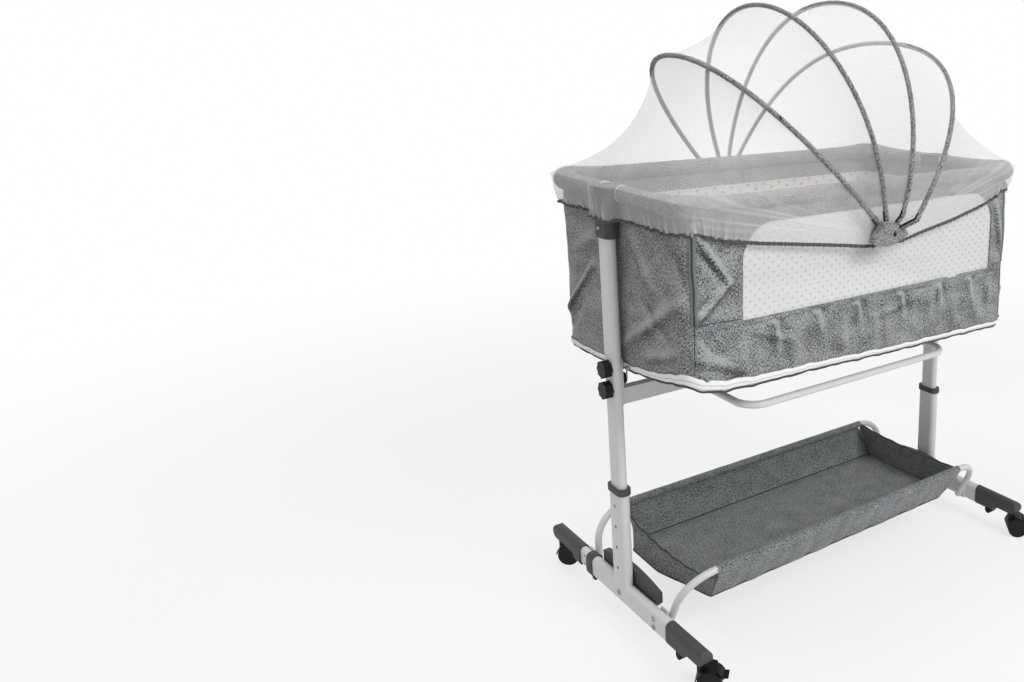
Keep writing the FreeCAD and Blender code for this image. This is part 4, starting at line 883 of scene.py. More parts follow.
@dataclass
class SteelFrame:
    """The CAD nodes that stay in view, and the small fastenings that only the looks need."""

    shop: Shop
    nodes: dict[str, bpy.types.Object]
    head_x: float = 492.0
    head_y: float = 4.0
    head_z: float = 877.0
    nut_x: float = 461.4
    nut_y: float = -3.0
    nut_z: float = 560.0
    lobe_depth: float = 0.09
    lobe_reach: float = 0.01
    screw_profile: Profile = ((0, 2.4), (1.6, 2.3), (3.4, 1.5), (4.2, 0.2), (4.2, -1.0))
    nut_profile: Profile = ((0, 11), (5, 11), (6.5, 10), (9.5, 9.4), (12.6, 8), (13, 6), (13, 3), (11.5, 1.2),
                            (7, 0.4), (7, -0.2), (0, -0.2))
    names: dict[str, str] = field(default_factory=lambda: {
        "tube_grey": "steel", "rim_steel": "rail", "dark_plastic": "plastic", "black_plastic": "black",
        "tread": "tyre", "stop_rubber": "rubber", "bolt_steel": "zinc", "board": "board", "hoop_rod": "black",
        "grey_cloth": "grey", "star_cloth": "star", "white_mesh": "window"})

    def dress(self, record: dict) -> None:
        """Gives each CAD node the finish of its slot."""
        slots = {s["node"]: s["material_slot"] for s in record["subparts"]}
        for name, node in self.nodes.items():
            finish = getattr(self.shop.wear, self.names[slots[name]])
            node.data.materials.clear()
            node.data.materials.append(finish)
        LOG.info("frame: %d nodes dressed", len(self.nodes))

    def build(self) -> None:
        """Adds the screws on the leg heads and the nuts behind the clamping knobs."""
        for side, name in ((-1, "left"), (1, "right")):
            screw = turned(f"head_screw_{name}", self.screw_profile,
                           (side * self.head_x, self.head_y, self.head_z), (side, 0, 0), 20)
            self.shop.fit(screw, self.shop.wear.zinc, "bassinet", "bolt_steel")
            spot = (side * self.nut_x, self.nut_y, self.nut_z)
            nut = turned(f"clamp_nut_{name}", self.nut_profile, spot, (-side, 0, 0), 28)
            self.lobes(nut, spot)
            self.shop.fit(nut, self.shop.wear.black, "bassinet", "black_plastic")

    def lobes(self, made: bpy.types.Object, middle: Sequence[float]) -> None:
        """Gives a turned knob its six grip lobes."""
        centre = Vector(middle) * MM
        for vertex in made.data.vertices:
            off = vertex.co - centre
            angle = math.atan2(off.z, off.y)
            near_rim = min(1.0, math.hypot(off.y, off.z) / self.lobe_reach)
            pull = 1 - self.lobe_depth * (0.5 - 0.5 * math.cos(6 * angle)) * near_rim
            vertex.co = Vector((vertex.co.x, centre.y + off.y * pull, centre.z + off.z * pull))


# ---------------------------------------------------------------- bassinet


ROLL, ROLL_Z = Outline(457.0, 248.0, 38.0), 946.0  # the foam roll's centre line
ROLL_CORNER, CORNER_REACH = (446.0, 237.0), 62.0  # the middle and width of its fuller corners


def corner_share(x: Array, y: Array) -> Array:
    """How near a place is to a corner of the rim, from 0 to 1; the roll is fuller there."""
    return bump(np.hypot(np.abs(x) - ROLL_CORNER[0], np.abs(y) - ROLL_CORNER[1]), 0, CORNER_REACH)


@dataclass
class RimRoll:
    """The foam roll round the rim tubes, in two halves that stop at the leg heads."""

    shop: Shop
    outline: Outline = ROLL
    radius: float = 16.6
    opening: float = 34.0
    fuller: float = 0.38
    cut_ring: tuple[float, float] = (15.6, 16.2)
    cord: float = 1.8

    def build(self) -> None:
        """Makes the front and the rear half with the cord round each cut edge."""
        gap = self.opening / self.outline.length()
        for name, start in (("front", 0.0), ("rear", 0.5)):
            share = np.linspace(start + gap, start + 0.5 - gap, 330)
            x, y, nx, ny = self.outline.at(share)
            path = stack(x, y, np.full_like(x, ROLL_Z))
            run = share * self.outline.length()
            full = 1 + self.fuller * corner_share(x, y)
            made = tube(f"rim_roll_{name}", path, self.radius, 30, False,
                        lambda step, angle: self.swell(run[step.astype(int)], angle) * full[step.astype(int)])
            self.shop.fit(made, self.shop.wear.grey, "bassinet", "grey_cloth")
            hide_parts("rim_padding")
            ring, (wide, high) = np.linspace(0, TURN, 33), self.cut_ring
            flat = np.cos(ring)
            for end, k in (("a", 0), ("b", -1)):
                spot = path[k] + stack(flat * nx[k] * wide, flat * ny[k] * high, np.sin(ring) * high)
                cord = tube(f"rim_roll_{name}_cord_{end}", spot, self.cord, 8, True)
                self.shop.fit(cord, self.shop.wear.white, "bassinet")

    def swell(self, run: Array, angle: Array) -> Array:
        """The roll's radius factor: small wrinkles across it, and a seam along its underside."""
        wrinkle = waves(run + 14 * np.sin(angle), (23.0, 0.010, 0.4), (37.0, 0.013, 2.1), (61.0, 0.012, 4.0))
        seam = bump(np.mod(angle, TURN), 0.8 * math.pi, 0.1)
        return 1.0 + wrinkle * (0.4 + 0.6 * np.sin(angle / 2) ** 2) - 0.05 * seam


@dataclass
class Tub:
    """The sewn tub: outer cloth, star-print lining, front panel with its window, zips and seams."""

    shop: Shop
    outline: Outline = Outline(456.0, 254.0, 33.0)
    bottom: float = 586.0
    band_top: float = 706.0
    top: float = 931.0
    heel: float = 5.0
    zip_x: float = 438.0
    zip_foot: float = 727.0
    zip_top: float = 929.0
    slider_z: float = 915.0
    lining_foot: float = 622.0
    lining_top: float = 890.0
    ripple_z: tuple[float, ...] = (598, 626, 660, 720)
    dart_z: tuple[float, ...] = (628, 690, 700, 709)
    dart_lean: float = 0.12
    dart_ridge: tuple[float, float] = (5.0, 10.0)
    dart_hollow: tuple[float, float] = (3.4, 9.0)
    dart_step: float = 17.0
    deepest: float = -4.0
    probe: float = 3.5
    right_push: float = 7.0
    window: tuple[float, float, float, float] = (-329.0, 389.0, 718.0, 905.0)
    window_corner: float = 74.0
    front_foot: Table = (
        (-464, -420, -375, -281, -130, 74, 256, 427, 456), (612, 597, 588, 584, 582, 574, 571, 567, 572))
    left_foot: Table = (
        (-254, -230, -169, -92, -10, 109, 165, 234, 254), (612, 610, 598, 589, 584, 575, 575, 574, 578))
    right_foot: Table = ((-254, -170, 0, 170, 254), (572, 574, 578, 580, 584))
    rear_foot: Table = ((-456, -400, 0, 400, 456), (578, 576, 580, 580, 584))
    front_tape: Table = ((-456, -400, -281, -130, 74, 456), (24, 23, 18, 15.5, 13, 12.5))
    left_tape: Table = ((-254, -169, -60), (24, 18, 13.5))
    plain_tape: float = 12.5
    darts: tuple[float, ...] = (-258, -146, -35, 92, 214, 318)
    seam_gap: float = 4.5
    border: float = 13.0
    border_seams: tuple[float, float] = (3.2, 9.0)
    front_creases: tuple[Crease, ...] = (
        Crease((-428, 888), (-362, 795), 8, 5.0), Crease((-364, 795), (-430, 736), 8, 6.2),
        Crease((-418, 852), (-372, 800), 7, -3.2), Crease((-395, 770), (-430, 752), 7, -3.4),
        Crease((-424, 700), (-380, 660), 10, -3.0), Crease((402, 870), (430, 760), 9, 3.2),
        Crease((430, 700), (404, 660), 9, -2.4), Crease((-436, 660), (-340, 622), 11, 2.8),
        Crease((-300, 690), (-210, 655), 9, 1.8), Crease((10, 660), (150, 688), 10, 1.6))
    end_creases: tuple[Crease, ...] = (
        Crease((261, 631), (108, 778), 7.5, 6.2), Crease((-10, 632), (-240, 772), 13, 5.2),
        Crease((-205, 660), (-100, 628), 11, 3.4), Crease((-60, 860), (-130, 775), 14, 3.4),
        Crease((-218, 850), (-236, 800), 8, -3.8), Crease((60, 850), (190, 800), 15, 3.0),
        Crease((-90, 740), (-190, 680), 14, -3.2), Crease((235, 610), (160, 690), 9, -3.0),
        Crease((30, 640), (60, 760), 14, 2.2))

    def lift(self, x: Array, y: Array) -> Array:
        """How far the bottom edge hangs above its plain height; the front left corner is drawn up."""
        front, rear = smooth(-205, -248, y), smooth(205, 248, y)
        end = np.where(x < 0, np.interp(y, *self.left_foot), np.interp(y, *self.right_foot))
        foot = front * np.interp(x, *self.front_foot) + rear * np.interp(x, *self.rear_foot)
        return foot + (1 - front - rear) * end - self.bottom

    def tape_height(self, x: Array, y: Array) -> Array:
        """How much of the bottom tape shows; it turns out more at the front left corner."""
        front = smooth(-205, -248, y)
        end = np.where(x < 0, np.interp(y, *self.left_tape), self.plain_tape)
        return front * np.interp(x, *self.front_tape) + (1 - front) * end

    def relief(self, x: Array, y: Array, z: Array, nx: Array, ny: Array) -> Array:
        """The outer cloth's wrinkles, creases, darts and drawn seams.

        Args:
            x: place in mm.
            y: place in mm.
            z: height in mm.
            nx: the outward direction's x.
            ny: the outward direction's y.

        Returns:
            How far the cloth stands off the plain form.
        """
        front, end = smooth(0.5, 1.0, -ny), smooth(0.6, 1.0, np.abs(nx))
        ripple = waves(x, (43.0, 0.7, 0.3), (67.0, 0.8, 1.9), (29.0, 0.35, 4.2), (113.0, 0.8, 0.8))
        envelope, drop = between(*self.ripple_z, z), between(*self.dart_z, z)
        for middle in self.darts:
            lean = middle + self.dart_lean * (self.band_top - z)
            (high, wide), (deep, narrow) = self.dart_ridge, self.dart_hollow
            out_dart = high * bump(x, lean, wide) - deep * bump(x, lean + self.dart_step, narrow)
            ripple = ripple + np.where(envelope > 1e-3, out_dart * drop / np.maximum(envelope, 0.12), 0.0)
        out = front * ripple * envelope
        rear = smooth(0.5, 1.0, ny)
        out += rear * 0.7 * waves(x, (51.0, 0.9, 2.3), (83.0, 1.0, 0.9)) * envelope
        points = stack(x, y, z)
        out += 3.4 * rumple(points, 95.0, 3.7) + 2.3 * rumple(points, 42.0, 11.2)
        for crease in self.front_creases:
            out += front * crease.on(x, z)
        for crease in self.end_creases:
            out += end * np.where(x < 0, crease.on(y, z), 0.75 * crease.on(-y, z))
        in_front = (y < 0) & (np.abs(x) < self.zip_x + 2)
        out -= np.where(in_front, 0.5 * bump(z, self.band_top, 2.6), 0.0)
        return np.maximum(out, self.deepest)

    def shade(self, x: Array, y: Array, z: Array, nx: Array, ny: Array) -> Array:
        """How much a place faces up and to the right, from its folds; it is painted into the cloth's colour
        as shade and highlight.
        """
        step = self.probe
        rise = self.relief(x, y, z - step, nx, ny) - self.relief(x, y, z + step, nx, ny)
        dx, dy = -ny * step, nx * step
        side = self.relief(x - dx, y - dy, z, nx, ny) - self.relief(x + dx, y + dy, z, nx, ny)
        return np.clip((1.6 * rise + 0.45 * side) / (2 * step), -1, 1)

    def shade_at(self, share: Array, z: Array) -> Array:
        """The folds' painted shade and highlight at shares of the way round and heights."""
        x, y, nx, ny = self.outline.at(share)
        return self.shade(x, y, z, nx, ny)

    def shade_band(self, share: Array, part: Array) -> Array:
        """The folds' painted shade and highlight on the lower band."""
        return self.shade_at(share, self.band_height(share, part))

    def surface(self, share: Array, z: Array, off: float | Array = 0.0, plain: float = 1.0) -> Array:
        """Points of the outer cloth.

        Args:
            share: of the way round.
            z: height in mm.
            off: extra distance outwards.
            plain: how much of the wrinkles to keep.

        Returns:
            The points in mm.
        """
        x, y, nx, ny = self.outline.at(share)
        height = z - (self.bottom + self.lift(x, y))
        below = np.clip(self.heel - height, 0, self.heel)
        drawn = self.heel - np.sqrt(np.clip(self.heel ** 2 - below ** 2, 0, None))
        drawn += 0.2 * np.clip(self.lift(x, y), 0, None) * (1 - smooth(0, 90, height))
        drawn -= self.right_push * smooth(0.5, 1.0, nx) * (1 - smooth(30, 230, height))
        out = off - drawn + plain * smooth(0, 16, height) * self.relief(x, y, z, nx, ny)
        return stack(x + nx * out, y + ny * out, z)

    def band_height(self, share: Array, part: Array) -> Array:
        """Heights on the lower band, part 0 at its bottom edge and 1 at the panel seam."""
        x, y, _, _ = self.outline.at(share)
        low = self.bottom + self.lift(x, y)
        return low + part * (self.band_top - low)

    def band(self, share: Array, part: Array) -> Array:
        """Points of the lower band."""
        return self.surface(share, self.band_height(share, part))

    def zips(self) -> tuple[float, float]:
        """The shares at which the left and right corner zips run."""
        return self.outline.share_at(-self.zip_x), self.outline.share_at(self.zip_x)

    def build_cloth(self) -> None:
        """The band all round, the floor, and the wall on three sides, as one cloth."""
        left, right = self.zips()
        front = np.linspace(left, right, 230)
        wall = np.linspace(right, 1 + left, 300)
        parts = np.concatenate([[0, 0.006, 0.014, 0.024, 0.036, 0.05], np.linspace(0.08, 0.93, 28),
                                [0.955, 0.975, 0.988, 1.0]])
        seam = self.band_top + np.array([0, 2, 5, 9])
        heights = np.concatenate([seam, np.linspace(722, 922, 32), [self.top]])
        # the fold marks carry painted shade and highlight from the folds into the cloth's colour
        band_front, band_wall = (mapped(name, line, parts, self.band, marks={"fold": self.shade_band})
                                 for name, line in (("band_front", front), ("band_wall", wall)))
        upper = mapped("upper_wall", wall, heights, self.surface, marks={"fold": self.shade_at})
        ring = np.concatenate([front, wall[1:]])

        def floor(share: Array, part: Array) -> Array:
            """Points of the floor, part 1 at its edge and 0 in its middle."""
            x, y, z = np.moveaxis(self.band(share, np.zeros_like(share)), -1, 0)
            sunk = (self.bottom - z) * smooth(1.0, 0.9, part) - 0.6 * (1 - part)
            return stack(x * part, y * part, z + sunk)

        under = mapped("under", ring, np.array([1.0, 0.985, 0.95, 0.88, 0.7, 0.45, 0.2, 0.0]), floor,
                       pattern=lambda s, t: floor(s, t)[..., :2])
        made = sewn("tub_cloth", [band_front, band_wall, upper, under], is_open=True)
        thicken(made, 2.2)
        self.shop.fit(made, self.shop.wear.grey, "bassinet", "grey_cloth")
        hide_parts("body_shell")

    def wall_at(self, x: Array) -> tuple[Array, Array, Array]:
        """y and the outward direction of the front wall at x."""
        corner = self.outline.corner
        over = np.clip(np.abs(x) - (self.outline.half_x - corner), 0, corner - 0.01)
        nx, ny = np.sign(x) * over / corner, -np.sqrt(1 - (over / corner) ** 2)
        return -(self.outline.half_y - corner) + ny * corner, nx, ny

    def on_front(self, x: Array, z: Array, off: float | Array = 0.0) -> Array:
        """Points of the front panel's outer face."""
        y, nx, ny = self.wall_at(x)
        out = off + self.relief(x, y, z, nx, ny) * smooth(0, 30, 935 - z)
        return stack(x + nx * out, y + ny * out, z)

    def window_edge(self) -> tuple[Array, Array]:
        """The window's outline and, matched to it, the panel's, as x and z round from the lower left."""
        x0, x1, z0, z1 = self.window
        r = self.window_corner
        bend = np.radians(np.linspace(0, 45, 12))
        right = np.concatenate([[(x1, z) for z in np.linspace(z0, z1 - r, 16)],
                                [(x1 - r + r * math.cos(a), z1 - r + r * math.sin(a)) for a in bend[1:]]])
        top_right = np.array([(x1 - r + r * math.sin(a), z1 - r + r * math.cos(a)) for a in bend[::-1]])
        top = np.concatenate([top_right[1:], [(x, z1) for x in np.linspace(x1 - r, x0 + r, 80)[1:-1]],
                              [(x0 + r - r * math.sin(a), z1 - r + r * math.cos(a)) for a in bend]])
        left = np.concatenate([[(x0 + r - r * math.cos(a), z1 - r + r * math.sin(a)) for a in bend[::-1][1:]],
                               [(x0, z) for z in np.linspace(z1 - r, z0, 16)[1:]]])
        low = np.array([(x, z0) for x in np.linspace(x0, x1, 101)])
        inner = [low, right[1:], top, left]
        a, b = -self.zip_x, self.zip_x
        corners = [(a, self.band_top), (b, self.band_top), (b, self.top), (a, self.top), (a, self.band_top)]
        outer = []
        for k, side in enumerate(inner):
            ends = np.array(corners[k]), np.array(corners[k + 1])
            skip = 0 if k == 0 else 1
            share = np.linspace(0, 1, len(side) + skip)[skip:, None]
            outer.append(ends[0] + share * (ends[1] - ends[0]))
        inner.append(low[:1])
        outer.append(outer[0][:1])
        return np.concatenate(inner), np.concatenate(outer)

    def build_front(self) -> None:
        """The front panel's cloth round its window, its lining border, and the window's mesh."""
        inner, outer = self.window_edge()
        reach = np.linalg.norm(outer - inner, axis=1)
        one, two = self.border_seams
        first = np.array([0, 0.8, 2.0, one, 4.4, 7.0, two, 10.2, 11.4, self.border])
        count = len(first) + 17

        def spread(column: Array, row: Array) -> tuple[Array, Array, Array]:
            """x, z and the distance from the window's edge."""
            k, m = column.astype(int), row.astype(int)
            far = reach[k]
            along = np.clip((m - len(first) + 1) / (count - len(first)), 0, 1)
            rest = self.border + (far - self.border) * along
            d = np.where(m < len(first), first[np.clip(m, 0, len(first) - 1)], rest)
            share = (d / far)[..., None]
            flat = inner[k] + share * (outer[k] - inner[k])
            return flat[..., 0], flat[..., 1], d

        def place(column: Array, row: Array) -> Array:
            """Points of the cloth, with the doubled border round the window and its two seams."""
            x, z, d = spread(column, row)
            lay = 1.3 * (1 - smooth(9.6, 12.5, d)) - 0.7 * bump(d, one, 0.8) - 0.7 * bump(d, two, 0.8)
            lay -= 1.0 * bump(d, 0, 0.9)
            return self.on_front(x, z, lay)

        def fold_painted_shade(column: Array, row: Array) -> Array:
            """The folds' painted shade and highlight."""
            x, z, _ = spread(column, row)
            y, nx, ny = self.wall_at(x)
            return self.shade(x, y, z, nx, ny)

        # the fold mark carries painted shade and highlight from the folds into the cloth's colour
        made = mapped("front_cloth", np.arange(len(inner)), np.arange(count), place, marks={"fold": fold_painted_shade},
                      pattern=lambda c, r: np.stack(spread(c, r)[:2], axis=-1))
        thicken(made, 2.0)
        self.shop.fit(made, self.shop.wear.grey, "bassinet", "grey_cloth")
        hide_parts("front_panel")
        x0, x1, z0, z1 = self.window
        pane = mapped("window_mesh_sheet", np.linspace(x0 - 5, x1 + 5, 150), np.linspace(z0 - 5, z1 + 5, 44),
                      self.pane, marks={"gather": lambda a, b: 0.0 * a})
        self.shop.fit(pane, self.shop.wear.window, "bassinet", "white_mesh")
        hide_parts("window_mesh")

    def pane(self, x: Array, z: Array) -> Array:
        """Points of the window's mesh, drawn in a little and faintly rippled."""
        y = -self.outline.half_y + 1.9
        deep = smooth(0, 60, x - self.window[0]) * smooth(0, 60, self.window[1] - x)
        deep *= smooth(0, 50, z - self.window[2]) * smooth(0, 50, self.window[3] - z)
        ripple = waves(z + 0.15 * x, (26.0, 0.35, 0.0), (41.0, 0.5, 1.0))
        points = stack(x, np.full_like(x, y), z)
        points[..., 1] += deep * (3.0 + ripple + 1.0 * rumple(points, 80.0, 5.0))
        return points

    def inside(self, share: Array, z: Array, off: float = 0.0) -> Array:
        """Points of the lining."""
        x, y, nx, ny = self.outline.at(share)
        points = stack(x, y, z)
        depth = 6.6 - off + 1.1 * rumple(points, 60.0, 21.0)
        run = share * self.outline.length()
        depth += 0.8 * waves(run, (58.0, 0.6, 0.0), (91.0, 0.7, 2.0)) * smooth(0, 80, 930 - z)
        return stack(x - nx * depth, y - ny * depth, z)

    def build_lining(self) -> None:
        """Star-print lining up to its white piping, and grey cloth above it."""
        left, right = self.zips()
        wall = np.linspace(right + 0.002, 0.998 + left, 240)
        front = np.linspace(left + 0.002, right - 0.002, 150)
        foot, top, wear = self.lining_foot, self.lining_top, self.shop.wear
        for name, line, heights, finish, slot, flat, rest in (
                ("lining_wall", wall, np.linspace(foot, top, 38), wear.star, "star_cloth", (1.88, 0.268),
                 "tub_cloth"),
                ("lining_front", front, np.linspace(foot, self.window[2] - 4, 12), wear.star, "star_cloth",
                 (0.87, 0.092), "front_cloth"),
                ("inner_wall", wall, np.linspace(top, 938, 8), wear.grey, "grey_cloth", (1.88, 0.048),
                 "rim_roll_rear")):
            made = mapped(name, line, heights, self.inside, inward=True)
            self.shop.fit(made, finish, "bassinet", slot)
        run = wall * self.outline.length()
        height = self.lining_top + 2.6 * np.abs(np.sin(np.pi * run / 24.0)) - 1.0
        cord = tube("lining_piping", self.inside(wall, height, -1.0), 1.7, 8)
        self.shop.fit(cord, self.shop.wear.white, "bassinet")

    def outward(self, share: Array) -> Array:
        """The outward direction at shares of the way round."""
        _, _, nx, ny = self.outline.at(share)
        return level(nx, ny)

    def build_trim(self) -> None:
        """The zip tape round the bottom with its cords, the corner zips, the seams and their stitches."""
        ring = np.linspace(0, 1, 561)
        tape = mapped("bottom_zip_tape", ring, np.linspace(0, 1, 9), self.tape,
                      pattern=lambda s, t: np.stack([s * self.outline.length(), t * BOTTOM_TAPE], axis=-1))
        thicken(tape, 1.2)
        self.shop.fit(tape, self.shop.wear.tape, "bassinet")
        cord = tube("bottom_zip_cord", self.tape(ring, np.full_like(ring, -0.12)), 2.1, 8, True)
        self.shop.fit(cord, self.shop.wear.dark, "bassinet")
        for name, share in zip(("left", "right"), self.zips()):
            self.corner_zip(name, share)
        rows, seams = [], []
        for start, end in ((-self.zip_x + 7, self.window[0] - 2), (self.zip_x - 7, self.window[1] + 2)):
            x = np.linspace(start, end, 50)
            z = np.linspace(self.zip_foot, self.window[2] + 4, 50)
            side = level(*self.wall_at(x)[1:])
            for up in (self.seam_gap, -self.seam_gap):
                rows.append(stitches("s", self.on_front(x, z + up, 0.4), side))
            seams.append(tube("s", self.on_front(x, z, 0.1), 0.9, 8))
        self.shop.fit(joined("panel_seams", seams), self.shop.wear.dark, "bassinet")
        inner, outer = self.window_edge()
        way = (outer - inner) / np.linalg.norm(outer - inner, axis=1)[:, None]
        for d in self.border_seams:
            x, z = (inner + way * d).T
            rows.append(stitches("s", self.on_front(x, z, 0.8), level(*self.wall_at(x)[1:])))
        self.shop.fit(joined("panel_stitches", rows), self.shop.wear.thread, "bassinet")
        self.slider("bottom_zip_slider", 34 / self.outline.length())

    def tape(self, share: Array, part: Array) -> Array:
        """Points of the zip tape on the band's foot, part 0 at its lower edge."""
        x, y, _, _ = self.outline.at(share)
        low = self.bottom + self.lift(x, y) - 1.5
        swell = 2.0 + 1.0 * np.sin(np.pi * np.clip(part, 0, 1))
        slack = waves(share * self.outline.length(), (57.0, 0.7, 0.0), (89.0, 0.8, 2.0), (31.0, 0.4, 1.0))
        return self.surface(share, low + self.tape_height(x, y) * part + slack, swell, 0.0)

    def corner_zip(self, name: str, share: float) -> None:
        """One upright zip at the end of the front panel, with a seam below it.

        Args:
            name: left or right.
            share: where on the way round it runs.
        """
        length, high, count = self.outline.length(), self.zip_top - self.zip_foot, 90
        sway = waves(np.linspace(0, high, count), (190.0, 1.1, 0.5), (71.0, 0.5, 2.0))

        def place(k: Array, across: Array) -> Array:
            """Points of the zip by row and distance across it."""
            z = self.zip_foot + k * (high / (count - 1))
            lip = 1.4 + 1.0 * bump(np.abs(across), 3.0, 1.2) - 1.0 * bump(across, 0, 1.0)
            return self.surface(share + (across + sway[k.astype(int)]) / length, z, lip)

        half = CORNER_TAPE / 2
        made = mapped(f"corner_zip_{name}", np.arange(count), np.linspace(-half, half, 15), place)
        thicken(made, 1.0)
        self.shop.fit(made, self.shop.wear.slot, "bassinet")
        x, y, _, _ = self.outline.at(np.array([share]))
        foot = self.bottom + float(self.lift(x, y)[0]) + float(self.tape_height(x, y)[0]) + 3.0
        low = np.linspace(foot, self.zip_foot - 3, 52)
        rows = []
        for z, gap in ((np.linspace(self.zip_foot + 2, self.zip_top - 4, 66), 9.5), (low, 3.4)):
            for off in (-gap, gap):
                spot = np.full_like(z, share + off / length)
                rows.append(stitches("s", self.surface(spot, z, 0.3), self.outward(spot)))
        self.shop.fit(joined(f"corner_stitches_{name}", rows), self.shop.wear.thread, "bassinet")
        seam = tube(f"corner_seam_{name}", self.surface(np.full_like(low, share), low, -0.1), 0.8, 8)
        self.shop.fit(seam, self.shop.wear.dark, "bassinet")
        self.slider(f"corner_zip_slider_{name}", share, self.slider_z)

    def slider(self, name: str, share: float, z: float | None = None) -> None:
        """A zip slider with its hanging pull.

        Args:
            name: the piece's name.
            share: where on the way round it sits.
            z: its height, or None for the bottom zip.
        """
        spot = np.array([share])
        middle = self.tape(spot, np.array([0.5])) if z is None else self.surface(spot, np.array([z]), 1.6)
        middle, out = middle[0], self.outward(spot)[0]
        upright = Vector((0, 0, 1))
        turn = Matrix((upright.cross(Vector(out)), Vector(out), upright)).transposed().to_4x4()
        wide = (13.0, 5.0, 9.0) if z is None else (8.5, 4.6, 12.0)
        body = block("s1", wide, middle + out * 3.0, turn, 1.6)
        pull = block("s2", (5.2, 1.5, 19.0), middle + out * 5.4 + np.array([0, 0, -11.0]), turn, 0.7)
        eye = block("s3", (3.4, 3.6, 4.4), middle + out * 5.2 + np.array([0, 0, -1.0]), turn, 1.0)
        self.shop.fit(joined(name, [body, pull, eye]), self.shop.wear.zinc, "bassinet", "bolt_steel")


@dataclass
class Mattress:
    """The star-print pad: crowned top, swelling side, piping round both edges."""

    shop: Shop
    outline: Outline = Outline(436.0, 236.0, 82.0)
    low: float = 600.0
    high: float = 637.0
    crown: float = 8.0

    def ring(self, share: Array, part: Array) -> tuple[Array, Array]:
        """x and y at a part of the way from the middle to the edge."""
        x, y, _, _ = self.outline.at(share)
        return x * part, y * part

    def build(self) -> None:
        """Makes the pad and its piping."""
        ring = np.linspace(0, 1, 241)
        run = self.outline.length()
        parts = np.array([0, 0.12, 0.25, 0.38, 0.5, 0.6, 0.7, 0.78, 0.85, 0.9, 0.94, 0.97, 0.985, 1.0])

        def top(share: Array, part: Array) -> Array:
            """Points of the crowned top."""
            x, y = self.ring(share, part)
            pucker = waves(share * run, (21.0, 0.7, 0.0), (34.0, 0.6, 2.0)) * bump(part, 0.955, 0.03)
            lump = 1.3 * rumple(stack(x, y, 0 * x), 120.0, 8.0) * (1 - part ** 4)
            return stack(x, y, self.high + self.crown * (1 - part ** 3.2) + pucker + lump)

        def under(share: Array, part: Array) -> Array:
            """Points of the underside."""
            x, y = self.ring(share, part)
            return stack(x, y, self.low - 2.4 * (1 - part ** 4))

        def side(share: Array, part: Array) -> Array:
            """Points of the swelling side."""
            x, y, nx, ny = self.outline.at(share)
            swell = (3.4 + 0.5 * waves(share * run, (47.0, 0.8, 1.0))) * np.sin(np.pi * part)
            return stack(x + nx * swell, y + ny * swell, self.low + part * (self.high - self.low))

        made = sewn("mattress_pad", [
            mapped("m1", ring, parts, top, pattern=lambda s, t: top(s, t)[..., :2]),
            mapped("m2", ring, np.linspace(0, 1, 9), side),
            mapped("m3", ring, np.array([0, 0.5, 0.85, 0.97, 1.0]), under,
                   pattern=lambda s, t: under(s, t)[..., :2])])
        self.shop.fit(made, self.shop.wear.star, "bassinet", "star_cloth")
        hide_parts("mattress")
        x, y, nx, ny = self.outline.at(ring)
        for name, z in (("top", self.high), ("bottom", self.low)):
            cord = tube(f"mattress_piping_{name}", stack(x + nx, y + ny, np.full_like(x, z)), 2.4, 8, True)
            self.shop.fit(cord, self.shop.wear.white, "bassinet")


# ---------------------------------------------------------------- basket


